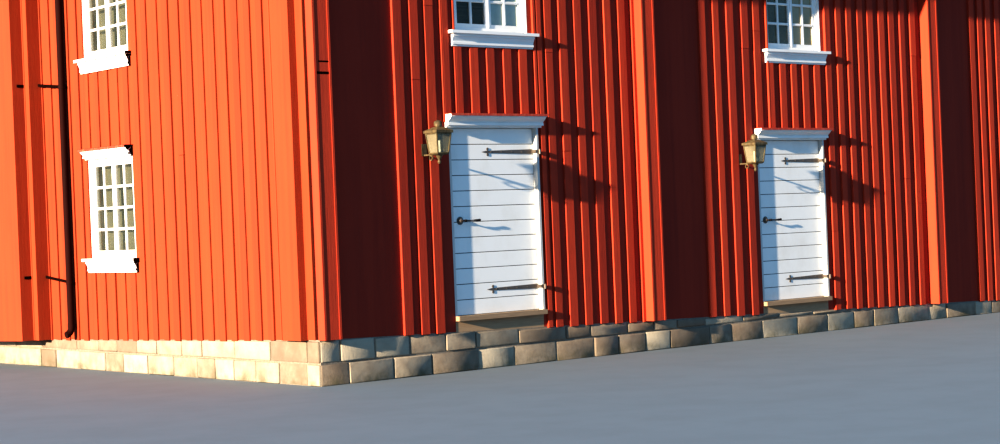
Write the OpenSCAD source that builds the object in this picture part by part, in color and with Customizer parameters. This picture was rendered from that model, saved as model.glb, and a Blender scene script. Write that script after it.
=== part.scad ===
// Two-storey timber row building with a boarded red front, a planked white door
// and an upper window in each bay, boxed pilasters over the cross-wall ends and
// a hipped roof. Millimetres. The door front faces -Y, the sunlit end faces -X,
// +Z is up, and the origin is the middle of the plan at the lowest ground.

/* [Plan] */
// Near corner to the centre of the first pilaster
first_bay = 4630; // [4500:10:4800]
// Pilaster centre to pilaster centre
bay = 5440; // [5350:10:5500]
// Length of each end wall
end_l = 8200; // [8000:20:8600]
// Thickness of the timber walls
wall_t = 200; // [180:5:220]

/* [Levels] */
// Foot of the boarding at the near corner
foot_near = 460; // [440:5:480]
// Foot of the boarding at the far end of the door front
foot_far = 80; // [70:5:100]
// Foot of the boarding at the rear left corner
foot_rear = 285; // [260:5:300]
// Threshold of the first door
threshold_z = 580; // [560:5:600]
// Drop of the ground floor from one bay to the next
bay_drop = 138; // [130:1:142]
// Top of the upper floor above the tops of the lintels
floor_over_lintel = 140; // [120:5:160]
// Underside of the boxed eaves
eaves_z = 4830; // [4825:5:4900]

/* [Plinth and floors] */
// Thickness of the stone plinth
plinth_t = 200; // [170:10:200]
// Thickness of the ground floor
ground_floor_t = 180; // [140:5:190]
// Thickness of the upper floor with its beams
upper_floor_t = 250; // [200:10:260]
// Top of the attic floor
attic_floor_z = 5130; // [5110:5:5150]
// Thickness of the attic floor
attic_floor_t = 180; // [140:10:200]
// Height of the lintels over the doors
lintel_h = 160; // [140:5:170]
// Bed joint between plinth and wall, and between casings and soffit
bed_gap = 0.3; // [0.2:0.1:0.5]

/* [Doors] */
// Width of the opening in the wall
door_opening_w = 1240; // [1200:5:1300]
// Height from threshold to the underside of the cornice
door_h = 1980; // [1950:5:1990]
// Width of a door post's face
post_w = 30; // [26:1:60]
// How far the hinge post stands out from the wall, as far as the cladding's strips
hinge_post_out = 30; // [28:1:40]
// Height of the frame's head
head_h = 60; // [50:1:70]
// Thickness of the leaf
leaf_t = 45; // [40:1:50]
// Depth of the leaf's face behind the wall face
leaf_in = 35; // [25:1:40]
// Running gap over, under and at the hinge side of the leaf
leaf_gap = 6; // [5:0.5:8]
// Running gap at the latch side, which the leaf's back corner swings through
latch_gap = 14; // [13:0.5:18]
// How far the threshold stands out from the wall
threshold_out = 70; // [60:5:80]
// Thickness of the threshold plank
threshold_t = 50; // [40:5:60]
// Number of boards in a leaf
leaf_boards = 12; // [10:1:14]
// Radius of the rounded upper edge of each board
board_edge_r = 13; // [8:1:16]
// Width of a stop strip behind the leaf
stop_w = 20; // [15:1:25]

/* [Door cornice] */
// Width over the cornice's top fillet
cornice_w = 1335; // [1300:5:1400]
// Height of the cornice
cornice_h = 140; // [130:1:150]
// How far the cornice stands out from the wall
cornice_out = 130; // [120:1:145]

/* [Door ironwork] */
// Pintle axis from the outer edge of its post
pintle_in = 6; // [0:1:12]
// Radius of a pintle's pin
pin_r = 7; // [6:0.5:8]
// Running clearance of the strap's eye on the pin
pin_gap = 0.3; // [0.2:0.05:0.4]
// Outer radius of the strap's eye
eye_r = 14; // [13:0.5:16]
// Length of a strap from its eye to its tip
strap_l = 760; // [700:10:800]
// Width of a strap near the hinge
strap_w = 52; // [46:1:56]
// Width of a strap's neck between the leaf and the eye
neck_w = 32; // [28:1:36]
// Width of a strap at its tip
strap_tip_w = 24; // [18:1:28]
// Reach of the cross near a strap's tip, up and down
cross_reach = 43; // [36:1:50]
// Distance of the cross from the tip
cross_in = 85; // [70:5:100]
// Thickness of a strap
strap_t = 6; // [5:0.5:8]
// Upper strap below the top of the leaf
strap_top = 250; // [220:10:280]
// Lower strap above the foot of the leaf
strap_foot = 250; // [220:10:280]
// Handle above the threshold
handle_z = 1000; // [960:10:1040]
// Handle from the leaf's latch edge
handle_in = 95; // [85:5:110]
// Length of the lever
lever_l = 240; // [200:10:280]
// How far the lever stands off the leaf
lever_out = 62; // [50:2:75]
// Radius of the handle's round plate
rose_r = 43; // [36:1:50]
// Radius of the domed boss on the plate
boss_r = 28; // [24:1:32]
// Radius of the collar on the lever
collar_r = 12; // [10:0.5:14]
// Length of the collar
collar_l = 24; // [18:1:30]
// Radius of the spindle
spindle_r = 8; // [6:0.5:10]

/* [Pilasters and corners] */
// Width of a pilaster
pilaster_w = 205; // [190:5:220]
// How far a pilaster stands out
pilaster_out = 150; // [140:5:160]
// Thickness of a pilaster's side boards
side_board_t = 25; // [20:1:30]
// Recess of a pilaster's front board between its side boards
front_board_in = 6; // [4:1:10]
// Width of the corner boxes on the door front
corner_box_w = 205; // [190:5:220]
// How far the corner boxes stand out
corner_box_out = 116; // [105:1:125]
// How far the corner boxes reach past the end walls
corner_box_lap = 15; // [10:1:20]
// Width of the upright slot behind the corner box
corner_slot_w = 60; // [50:2:70]
// Depth of the slot
corner_slot_d = 60; // [50:2:70]
// How far the end wall's corner board stands out
corner_board_out = 12; // [8:1:16]
// Distance from the corner to the end wall's wide casing
casing_from_corner = 190; // [180:5:200]
// Width of the end wall's wide casing
casing_w = 355; // [340:5:370]
// How far the wide casing stands out
casing_out = 95; // [90:1:105]
// Centre of the end wall's pilaster from the near corner
end_pilaster_y = 5750; // [5730:5:5770]
// Width of the end wall's pilaster
end_pilaster_w = 140; // [130:1:150]
// How far the end wall's pilaster stands out
end_pilaster_out = 180; // [170:1:190]
// How far the boarded rear bay stands out
rear_bay_out = 330; // [310:5:350]

/* [Windows] */
// Width of a window frame
window_w = 1040; // [1000:5:1060]
// Height of a window frame
window_h = 1160; // [1150:5:1190]
// Depth of the frame's face behind the wall face
window_in = 30; // [20:1:40]
// Thickness of the lining between wall face and frame
lining_t = 12; // [10:1:16]
// Depth of a frame
frame_d = 75; // [70:1:90]
// Sash face behind the frame's face
sash_in = 8; // [6:1:12]
// Width of a frame member
frame_w = 45; // [40:1:50]
// Width of a sash stile
stile_w = 42; // [38:1:46]
// Depth of a sash
sash_d = 38; // [34:1:42]
// Gap between sash and frame
sash_gap = 0.5; // [0.3:0.1:0.8]
// Thickness of the glass
glass_t = 4; // [3:0.5:5]
// Foot of the upper windows' aprons on the front, at the first bay
front_apron_z = 3416; // [3400:2:3430]
// Drop of the upper windows from one bay to the next
window_drop = 42; // [30:2:50]
// Foot of the upper windows' aprons on the ends and back
end_apron_z = 3490; // [3470:5:3500]
// Storey height between the end windows
storey_h = 2340; // [2320:5:2360]
// Height of sill and apron together
sill_h = 165; // [160:1:170]
// Height of the drip board
drip_h = 32; // [28:1:36]
// Width of the drip board
drip_w = 1225; // [1200:5:1250]
// How far the drip board stands out
drip_out = 95; // [85:1:105]
// Width of the apron's foot
apron_w = 1140; // [1120:5:1160]
// How far the apron stands out
apron_out = 65; // [60:1:75]
// Width of the crown over a lower window
crown_w = 1080; // [1060:5:1110]
// Height of the lower windows' crown
crown_h = 120; // [110:1:130]
// How far the crown stands out
crown_out = 110; // [100:1:120]

/* [Lanterns] */
// Lantern axis to the left of the door's centre line
lantern_side = 970; // [940:5:1000]
// Lantern axis out from the wall
lantern_out = 270; // [250:5:300]
// Lantern's eaves below the foot of the door's cornice
lantern_drop = 75; // [65:1:85]
// Width of a lantern over its eaves
lantern_w = 218; // [205:1:230]
// Height of the eaves rim
rim_h = 26; // [20:1:32]
// Width of the glazed body at its top
lantern_top_w = 196; // [186:1:202]
// Width of the glazed body at its foot
lantern_foot_w = 148; // [140:1:156]
// Height of the glazed body
lantern_h = 212; // [200:2:224]
// Width of the lantern's corner bars and rails
lantern_bar = 12; // [9:1:15]
// Thickness of the bars
lantern_bar_t = 7; // [5:1:9]
// Rise of the lantern's roof
lantern_roof_h = 38; // [30:1:46]
// Radius of the vent cap
vent_r = 42; // [36:1:48]
// Height of the vent cap under its dome
vent_h = 46; // [38:1:52]
// Radius of the finial below the body
finial_r = 20; // [16:1:24]
// Length of the finial
finial_l = 90; // [80:2:100]
// Radius of the candle tube
candle_r = 15; // [12:1:18]
// Height of the candle tube
candle_h = 100; // [85:5:120]
// Height of the wall plate
plate_h = 125; // [110:5:140]
// Width of the wall plate
plate_w = 70; // [60:2:80]
// Thickness of the wall plate
plate_t = 30; // [24:1:34]
// Side of the square bracket arm
arm_t = 16; // [12:1:20]
// Radius of the bracket's scroll
scroll_r = 27; // [22:1:32]

/* [Roof] */
// Overhang of the eaves beyond the walls
overhang = 410; // [390:5:430]
// Pitch of all four slopes in degrees
pitch = 32; // [30:0.5:34]
// Thickness of the roof, tiles left out
roof_t = 120; // [100:5:140]
// Height of the fascia
fascia_h = 170; // [160:5:180]
// Thickness of fascia and soffit boards
eaves_board_t = 25; // [22:1:30]
// Radius of the half-round gutter
gutter_r = 65; // [60:1:70]
// Wall of the gutter and pipes
gutter_t = 3; // [2:0.5:4]
// Height of a downpipe clip's band
gutter_strap_w = 25; // [20:1:30]
// Radius of the downpipe
pipe_r = 40; // [36:1:44]
// Centre of the downpipe from the near corner
pipe_y = 5025; // [5000:5:5050]
// Height of the downpipe's middle clip
pipe_clip_z = 3355; // [3300:5:3400]
// Clearance between the downpipe and the wall
pipe_off = 40; // [34:1:50]
// Length of a sleeve over a pipe joint
sleeve_l = 45; // [35:5:60]
// How far a sleeve reaches over a bend
sleeve_lap = 12; // [8:1:14]
// Bend radius of the swan neck at the pipe's middle line
pipe_bend = 100; // [90:5:110]
// Slant of the swan neck from upright, in degrees
pipe_slant = 75; // [70:1:80]
// Height of the shoe's mouth over the foot of the boarding
shoe_z = 60; // [40:5:80]

/* [Hidden] */

bays = 3;
far = 100000;
red = "firebrick";
white = "whitesmoke";
iron = "darkslategray";
stone = "tan";
clay = "sienna";

front_l = first_bay + (bays - 1) * bay + corner_box_w / 2;
// Door and window centres from the left edge of their bay
door_in_bay = [2355, 2580, 2700];
window_in_bay = [2382, 2730, 2700];
end_window_y = 4067;
function bay_start(k) = k == 0 ? 0 : first_bay + (k - 1) * bay;
function door_x(k) = bay_start(k) + door_in_bay[k];
function front_window_x(k) = bay_start(k) + window_in_bay[k];
function door_z(k) = threshold_z - k * bay_drop;
function head_z(k) = door_z(k) + door_h;
function foot_front(x) = foot_near + (foot_far - foot_near) * x / front_l;
function foot_left(y) = foot_near + (foot_rear - foot_near) * y / end_l;

latch_x = post_w + latch_gap - door_opening_w / 2;
hinge_x = door_opening_w / 2 - post_w - leaf_gap;
pintle_y = -hinge_post_out - leaf_gap - strap_t / 2 - eye_r;
leaf_w = hinge_x - latch_x;
leaf_h = door_h - 2 * leaf_gap;
board_h = leaf_h / leaf_boards;
band_z = head_z(0) + head_h + lintel_h;
upper_floor_z = band_z + floor_over_lintel;

// The whole building is measured from its near corner and centred on the plan
module from_corner() {
    translate([-front_l / 2, -end_l / 2, 0]) children();
}

// A box between two corners
module block(low, high) {
    translate(low) cube(high - low);
}

// An upright slab along X whose foot and top may slope, seen from the front
module x_slab(x0, x1, y0, y1, foot0, foot1, top) {
    translate([0, y1, 0])
        rotate([90, 0, 0])
            linear_extrude(y1 - y0)
                polygon([[x0, foot0], [x1, foot1], [x1, top], [x0, top]]);
}

// The same along Y, seen from the left
module y_slab(x0, x1, y0, y1, foot0, foot1, top) {
    translate([x0, 0, 0])
        rotate([90, 0, 90])
            linear_extrude(x1 - x0)
                polygon([[y0, foot0], [y1, foot1], [y1, top], [y0, top]]);
}

// PLINTH AND FLOORS
module long_plinths() {
    color(stone) from_corner() {
        x_slab(0, front_l, 0, plinth_t, foot_near - bed_gap, foot_far - bed_gap, 0);
        x_slab(0, front_l, end_l - plinth_t, end_l, foot_rear - bed_gap, foot_far - bed_gap, 0);
    }
}

module end_plinths() {
    color(stone) from_corner() {
        y_slab(0, plinth_t, plinth_t, end_l - plinth_t,
               foot_left(plinth_t) - bed_gap, foot_left(end_l - plinth_t) - bed_gap, 0);
        y_slab(front_l - plinth_t, front_l, plinth_t, end_l - plinth_t,
               foot_far - bed_gap, foot_far - bed_gap, 0);
    }
}

module ground_floor() {
    color("burlywood") from_corner()
        for (k = [0:bays - 1]) {
            x0 = k == 0 ? wall_t : bay_start(k);
            x1 = k == bays - 1 ? front_l - wall_t : bay_start(k + 1);
            block([x0, wall_t, door_z(k) - ground_floor_t], [x1, end_l - wall_t, door_z(k)]);
        }
}

module upper_floor() {
    color("burlywood") from_corner()
        block([wall_t, wall_t, upper_floor_z - upper_floor_t],
              [front_l - wall_t, end_l - wall_t, upper_floor_z]);
}

module attic_floor() {
    color("burlywood") from_corner()
        block([wall_t, wall_t, attic_floor_z - attic_floor_t],
              [front_l - wall_t, end_l - wall_t, attic_floor_z]);
}

// WALLS
roof_foot = eaves_z + fascia_h;
wall_top = roof_foot + overhang * tan(pitch);

// Cut for one window, centred on the foot of its frame
module window_cut() {
    translate([-window_w / 2, -far / 2, 0]) cube([window_w, far, window_h]);
}

// Upright slots in the front wall's two ends, behind the corner boxes
module corner_slots() {
    for (x = [0, front_l])
        translate([x - corner_slot_d, -far, -far])
            cube([2 * corner_slot_d, far + corner_slot_w, 2 * far]);
}

module front_piers() {
    color(red) from_corner()
        difference() {
            for (k = [0:bays]) {
                x0 = k == 0 ? 0 : door_x(k - 1) + door_opening_w / 2;
                x1 = k == bays ? front_l : door_x(k) - door_opening_w / 2;
                x_slab(x0, x1, 0, wall_t, foot_front(x0), foot_front(x1), band_z);
            }
            corner_slots();
        }
}

module front_lintels() {
    color(red) from_corner()
        for (k = [0:bays - 1])
            translate([door_x(k) - door_opening_w / 2, 0, head_z(k) + head_h])
                cube([door_opening_w, wall_t, band_z - head_z(k) - head_h]);
}

module front_wall_upper() {
    color(red) from_corner()
        difference() {
            block([0, 0, band_z], [front_l, wall_t, wall_top]);
            for (k = [0:bays - 1])
                translate([front_window_x(k), 0, front_frame_z(k)]) window_cut();
            corner_slots();
        }
}

module end_wall(foot0, foot1) {
    difference() {
        y_slab(0, wall_t, wall_t, end_l - wall_t, foot0, foot1, wall_top);
        for (z = end_frame_zs)
            translate([0, end_window_y, z]) rotate([0, 0, 90]) window_cut();
    }
}

module left_wall() {
    color(red) from_corner() end_wall(foot_left(wall_t), foot_left(end_l - wall_t));
}

module right_wall() {
    color(red) from_corner() translate([front_l - wall_t, 0, 0]) end_wall(foot_far, foot_far);
}

module back_wall() {
    color(red) from_corner()
        difference() {
            x_slab(0, front_l, end_l - wall_t, end_l, foot_rear, foot_far, wall_top);
            for (k = [0:bays - 1], z = end_frame_zs)
                translate([back_window_x(k), end_l, z]) window_cut();
        }
}

// CASINGS OVER THE CROSS-WALL ENDS AND CORNERS
// Plan of a boxed casing on the front: side boards with the front board set back
module casing_plan(w, out) {
    polygon([[-w / 2, 0], [-w / 2, -out], [-w / 2 + side_board_t, -out],
             [-w / 2 + side_board_t, -out + front_board_in],
             [w / 2 - side_board_t, -out + front_board_in],
             [w / 2 - side_board_t, -out], [w / 2, -out], [w / 2, 0]]);
}

module casing(w, out, foot) {
    translate([0, 0, foot]) linear_extrude(eaves_z - bed_gap - foot) casing_plan(w, out);
}

module front_pilasters() {
    color(red) from_corner()
        for (k = [1:bays - 1])
            translate([bay_start(k), 0, 0]) casing(pilaster_w, pilaster_out, foot_front(bay_start(k)));
}

module corner_boxes() {
    color(red) from_corner()
        for (x = [corner_box_w / 2 - corner_box_lap, front_l - corner_box_w / 2 + corner_box_lap])
            translate([x, 0, 0]) casing(corner_box_w, corner_box_out, foot_front(x));
}

// A casing on the left end, centred at y
module left_casing(y, w, out) {
    translate([0, y, 0]) rotate([0, 0, -90]) casing(w, out, foot_left(y));
}

// Plain board on the corner of an end wall, between the slot and the wide casing
module corner_board(foot) {
    y_slab(-corner_board_out, 0, corner_slot_w, casing_from_corner - joint_gap,
           foot, foot, eaves_z - bed_gap);
}

module end_casings() {
    color(red) from_corner() {
        corner_board(foot_left(corner_slot_w));
        translate([front_l, 0, 0]) mirror([1, 0, 0]) corner_board(foot_far);
        left_casing(casing_from_corner + casing_w / 2, casing_w, casing_out);
        for (y = [casing_from_corner + casing_w / 2, end_l - casing_from_corner - casing_w / 2])
            translate([front_l, y, 0]) rotate([0, 0, 90]) casing(casing_w, casing_out, foot_far);
    }
}

module end_pilaster() {
    color(red) from_corner() left_casing(end_pilaster_y, end_pilaster_w, end_pilaster_out);
}

module rear_bay_boarding() {
    y0 = end_pilaster_y + end_pilaster_w / 2;
    color(red) from_corner()
        y_slab(-rear_bay_out, 0, y0, end_l, foot_left(y0), foot_rear, eaves_z - bed_gap);
}

// DOORS
module at_door(k) {
    from_corner() translate([door_x(k), 0, door_z(k)]) children();
}

module thresholds() {
    color("gray") for (k = [0:bays - 1]) {
        x0 = door_x(k) - door_opening_w / 2;
        x1 = door_x(k) + door_opening_w / 2;
        from_corner() {
            x_slab(x0, x1, 0, wall_t, foot_front(x0), foot_front(x1), door_z(k) - threshold_t);
            block([x0, -threshold_out, door_z(k) - threshold_t], [x1, wall_t, door_z(k)]);
        }
    }
}

// The latch post is flush with the wall, and the hinge post stands out to carry the pintles
module door_posts() {
    color(white) for (k = [0:bays - 1])
        at_door(k) {
            block([-door_opening_w / 2, 0, 0], [post_w - door_opening_w / 2, wall_t, door_h]);
            block([door_opening_w / 2 - post_w, -hinge_post_out, 0], [door_opening_w / 2, wall_t, door_h]);
        }
}

module door_stops() {
    y0 = leaf_in + leaf_t + leaf_gap;
    color(white) for (k = [0:bays - 1], side = [-1, 1])
        at_door(k)
            translate([side * (door_opening_w / 2 - post_w - stop_w / 2) - stop_w / 2, y0, 0])
                cube([stop_w, wall_t - y0, door_h - stop_w]);
}

module door_heads() {
    y0 = leaf_in + leaf_t + leaf_gap;
    color(white) for (k = [0:bays - 1])
        at_door(k) translate([0, 0, door_h]) {
            translate([-door_opening_w / 2, 0, 0]) cube([door_opening_w, wall_t, head_h]);
            translate([post_w - door_opening_w / 2, y0, -stop_w])
                cube([door_opening_w - 2 * post_w, wall_t - y0, stop_w]);
        }
}

// Outline of a moulding: projection against height, a fillet above a cyma
cyma_steps = 8;
function cyma(h, out, back) = [for (i = [0:cyma_steps])
    let (t = i / cyma_steps)
    [back + (out - back) * (t - sin(360 * t) / 12), h * t]];
function moulding(h, out, back) =
    let (mid = back + (out - back) * 0.4)
    concat([[0, 0], [back, 0], [back, h * 0.15], [mid, h * 0.15], [mid, h * 0.33]],
           [for (p = cyma(h * 0.42, out - 12, mid - 8)) [p[0], p[1] + h * 0.35]],
           [[out, h * 0.79], [out, h], [0, h]]);

// A moulding of width w, sawn off straight at both ends
module moulding_bar(w, h, out, back) {
    translate([-w / 2, 0, 0])
        rotate([90, 0, 90])
            linear_extrude(w) polygon([for (p = moulding(h, out, back)) [-p[0], p[1]]]);
}

module door_cornices() {
    color(white) for (k = [0:bays - 1])
        at_door(k)
            translate([0, 0, door_h]) moulding_bar(cornice_w, cornice_h, cornice_out, hinge_post_out + 6);
}

// The leaf's boards, drawn in section and run across the leaf: each board's upper edge
// is rounded under the square edge of the board above
edge_steps = 4;
function leaf_section() = concat(
    [[leaf_t, 0], [leaf_t, leaf_h], [0, leaf_h]],
    [for (i = [leaf_boards - 1:-1:1], step = [-1:edge_steps])
        let (a = 90 * step / edge_steps)
        step < 0 ? [0, i * board_h]
                 : [board_edge_r * (1 - sin(a)), i * board_h + board_edge_r * (cos(a) - 1)]],
    [[0, 0]]);

module door_leaf(k) {
    color(white) at_door(k)
        difference() {
            translate([latch_x, leaf_in, leaf_gap])
                rotate([90, 0, 90])
                    linear_extrude(leaf_w) polygon(leaf_section());
            translate([handle_x, 0, handle_z])
                rotate([-90, 0, 0]) cylinder(r = spindle_r + spindle_gap, h = far, center = true);
        }
}

module door_leaf_1() { door_leaf(0); }
module door_leaf_2() { door_leaf(1); }
module door_leaf_3() { door_leaf(2); }

// Hinges: the strap lies on the leaf, cranks out past the post and ends in an eye
pintle_x = door_opening_w / 2 - pintle_in;
strap_zs = [leaf_gap + strap_foot, leaf_gap + leaf_h - strap_top];
eye_h = neck_w;
crank_x = hinge_x - 2 * strap_t;

// Outline of a strap on the leaf: a long taper with a cross and a pointed tip
module strap_outline() {
    tip_x = pintle_x - strap_l;
    cross_x = tip_x + cross_in;
    polygon([[tip_x, 0], [cross_x - strap_tip_w, strap_tip_w / 2], [cross_x, strap_tip_w / 2],
             [crank_x, strap_w / 2], [crank_x, -strap_w / 2], [cross_x, -strap_tip_w / 2],
             [cross_x - strap_tip_w, -strap_tip_w / 2]]);
    for (side = [-1, 1]) {
        polygon([[cross_x - strap_tip_w / 2, 0], [cross_x + strap_tip_w / 2, 0],
                 [cross_x + strap_tip_w / 4, side * cross_reach],
                 [cross_x - strap_tip_w / 4, side * cross_reach]]);
        translate([cross_x, side * (cross_reach - strap_tip_w / 2)]) circle(r = strap_tip_w * 0.6, $fn = 24);
    }
}

module strap() {
    front_y = -hinge_post_out - leaf_gap - strap_t;
    difference() {
        union() {
            translate([0, leaf_in, 0]) rotate([90, 0, 0]) linear_extrude(strap_t) strap_outline();
            translate([crank_x - strap_t, front_y, -neck_w / 2])
                cube([strap_t, leaf_in - front_y, neck_w]);
            translate([crank_x - strap_t, front_y, -neck_w / 2])
                cube([pintle_x - crank_x + strap_t, strap_t, neck_w]);
            translate([pintle_x, pintle_y, -eye_h / 2]) cylinder(r = eye_r, h = eye_h);
        }
        translate([pintle_x, pintle_y, -eye_h])
            cylinder(r = pin_r + pin_gap, h = 2 * eye_h);
    }
}

// Handle: a round plate on the leaf, and the lever on its spindle
handle_x = latch_x + handle_in;
spindle_gap = 0.3;
rose_t = 6;
lever_w = 2 * spindle_r;
lever_t = 12;
grip_r = lever_w * 0.8;

module door_ironwork(k) {
    color(iron) at_door(k) {
        for (z = strap_zs)
            translate([0, 0, z]) strap();
        translate([handle_x, leaf_in, handle_z])
            rotate([90, 0, 0])
                difference() {
                    union() {
                        cylinder(r = rose_r, h = rose_t);
                        intersection() {
                            translate([0, 0, rose_t]) sphere(r = boss_r);
                            cylinder(r = rose_r, h = rose_t + boss_r);
                        }
                    }
                    translate([0, 0, -1]) cylinder(r = spindle_r + spindle_gap, h = 2 * boss_r);
                }
    }
}

module door_ironwork_1() { door_ironwork(0); }
module door_ironwork_2() { door_ironwork(1); }
module door_ironwork_3() { door_ironwork(2); }

// A pin on a square hook that is driven into the post
hook = 2 * pin_r;
module hinge_pintles() {
    color(iron) for (k = [0:bays - 1], z = strap_zs)
        at_door(k) translate([pintle_x, pintle_y, z - eye_h / 2 - pin_gap - hook]) {
            cylinder(r = pin_r, h = hook + eye_h + pin_r);
            cylinder(r = eye_r, h = hook);
            translate([-pin_r, 0, 0]) cube([hook, -pintle_y - hinge_post_out, hook]);
        }
}

// The lever's outline from the spindle to its broad, rounded grip
module lever_outline() {
    polygon([[0, -lever_w / 2], [lever_l * 0.5, -lever_w * 0.3], [lever_l - grip_r, -grip_r],
             [lever_l - grip_r, grip_r], [lever_l * 0.5, lever_w * 0.3], [0, lever_w / 2]]);
    circle(r = lever_w / 2, $fn = 24);
    translate([lever_l - grip_r, 0]) circle(r = grip_r, $fn = 24);
}

module door_lever(k) {
    color(iron) at_door(k)
        translate([handle_x, leaf_in, handle_z]) rotate([90, 0, 0]) {
            translate([0, 0, -leaf_t]) cylinder(r = spindle_r, h = leaf_t + lever_out);
            translate([0, 0, lever_out - lever_t]) linear_extrude(lever_t) lever_outline();
            translate([collar_l, 0, lever_out - lever_t / 2])
                rotate([0, 90, 0]) cylinder(r = collar_r, h = collar_l);
        }
}

module door_lever_1() { door_lever(0); }
module door_lever_2() { door_lever(1); }
module door_lever_3() { door_lever(2); }

// WINDOWS
function front_frame_z(k) = front_apron_z - k * window_drop + sill_h;
end_frame_zs = [end_apron_z + sill_h - storey_h, end_apron_z + sill_h];
function back_window_x(k) = bay_start(k) + (k == 0 ? first_bay : bay) / 2;

// Places a window drawn facing -Y with its foot at the origin
module at_front_windows() {
    from_corner() for (k = [0:bays - 1])
        translate([front_window_x(k), 0, front_frame_z(k)]) children();
}

module at_end_windows(zs) {
    from_corner() for (z = zs) {
        translate([0, end_window_y, z]) rotate([0, 0, -90]) children();
        translate([front_l, end_window_y, z]) rotate([0, 0, 90]) children();
    }
}

module at_back_windows(zs) {
    from_corner() for (k = [0:bays - 1], z = zs)
        translate([back_window_x(k), end_l, z]) rotate([0, 0, 180]) children();
}

module at_all_windows() {
    at_front_windows() children();
    at_end_windows(end_frame_zs) children();
    at_back_windows(end_frame_zs) children();
}

module ring(w, h, member, depth) {
    rotate([90, 0, 0])
        translate([0, 0, -depth])
            linear_extrude(depth)
                difference() {
                    translate([-w / 2, 0]) square([w, h]);
                    translate([member - w / 2, member]) square([w - 2 * member, h - 2 * member]);
                }
}

module window_frames() {
    color(white) at_all_windows()
        {
            translate([0, window_in, 0]) ring(window_w, window_h, frame_w, frame_d);
            ring(window_w, window_h, lining_t, window_in);
        }
}

inner_w = window_w - 2 * frame_w;
inner_h = window_h - 2 * frame_w;
sash_w = inner_w / 2 - 1.5 * sash_gap;
sash_h = inner_h - 2 * sash_gap;

module window_sashes() {
    color(white) at_all_windows()
        for (side = [-1, 1])
            translate([side * (sash_w + sash_gap) / 2, window_in + sash_in, frame_w + sash_gap])
                ring(sash_w, sash_h, stile_w, sash_d);
}

module window_glass() {
    color("lightblue") at_all_windows()
        for (side = [-1, 1])
            translate([side * (sash_w + sash_gap) / 2 - sash_w / 2 + stile_w,
                       window_in + sash_in + sash_d / 2, frame_w + sash_gap + stile_w])
                cube([sash_w - 2 * stile_w, glass_t, sash_h - 2 * stile_w]);
}

module window_sills() {
    color(white) at_all_windows()
        translate([0, 0, -sill_h]) {
            moulding_bar(apron_w, sill_h - drip_h, apron_out, 30);
            translate([-drip_w / 2, -drip_out, sill_h - drip_h])
                cube([drip_w, drip_out, drip_h]);
        }
}

module window_crowns() {
    color(white) {
        at_end_windows([end_frame_zs[0]]) window_crown();
        at_back_windows([end_frame_zs[0]]) window_crown();
    }
}

module window_crown() {
    translate([0, 0, window_h]) moulding_bar(crown_w, crown_h, crown_out, 35);
}

// LANTERNS
// A lantern is drawn about its upright axis with its eaves at z = 0
module at_lanterns() {
    for (k = [0:bays - 1])
        at_door(k)
            translate([-lantern_side, -lantern_out, door_h - lantern_drop]) children();
}

module frustum(w0, w1, h) {
    linear_extrude(h, scale = w1 / w0) square(w0, center = true);
}

// Half-width of the glazed body at a height below the eaves
function body_half(z) = (lantern_top_w + (lantern_foot_w - lantern_top_w) * z / lantern_h) / 2;

// The glazed body shrunk by a margin all round
module lantern_body(margin) {
    translate([0, 0, -lantern_h])
        frustum(lantern_foot_w - 2 * margin, lantern_top_w - 2 * margin, lantern_h);
}

// One pair of opposite panes, cut right through between the bars and rails
module pane_cut() {
    low = lantern_h - lantern_bar;
    translate([0, far / 2, 0]) rotate([90, 0, 0]) linear_extrude(far)
        polygon([[lantern_bar - body_half(low), -low], [body_half(low) - lantern_bar, -low],
                 [body_half(lantern_bar) - lantern_bar, -lantern_bar],
                 [lantern_bar - body_half(lantern_bar), -lantern_bar]]);
}

module lantern_cage() {
    difference() {
        lantern_body(0);
        lantern_body(lantern_bar_t);
        pane_cut();
        rotate([0, 0, 90]) pane_cut();
    }
}

module lanterns() {
    roof_top_w = 2 * vent_r * 0.8;
    color("darkkhaki") at_lanterns() {
        lantern_cage();
        difference() {
            translate([-lantern_w / 2, -lantern_w / 2, 0]) cube([lantern_w, lantern_w, rim_h]);
            translate([0, 0, -lantern_bar_t])
                frustum(lantern_top_w - 2 * lantern_bar_t, lantern_top_w - 2 * lantern_bar_t, rim_h);
        }
        translate([0, 0, rim_h]) frustum(lantern_w, roof_top_w, lantern_roof_h);
        translate([0, 0, rim_h + lantern_roof_h]) {
            rotate_extrude() polygon([[0, -1], [vent_r * 0.7, -1], [vent_r * 0.7, vent_h * 0.2],
                [vent_r, vent_h * 0.2], [vent_r, vent_h], [vent_r * 0.8, vent_h * 1.25],
                [vent_r * 0.4, vent_h * 1.45], [0, vent_h * 1.5]]);
        }
        translate([0, 0, -lantern_h - lantern_bar]) {
            frustum(lantern_foot_w * 0.8, lantern_foot_w, lantern_bar);
            cylinder(r = candle_r, h = lantern_bar + candle_h);
            translate([0, 0, -finial_l]) rotate_extrude() polygon([[0, 0], [finial_r * 0.5, 0],
                [finial_r, finial_l * 0.2], [finial_r * 0.6, finial_l * 0.42],
                [finial_r, finial_l * 0.6], [finial_r * 2, finial_l], [finial_r * 2, finial_l + 1],
                [0, finial_l + 1]]);
        }
    }
}

module lantern_glass() {
    color("lightblue") at_lanterns()
        difference() {
            lantern_body(lantern_bar_t + bed_gap);
            lantern_body(lantern_bar_t + bed_gap + glass_t);
        }
}

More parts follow.
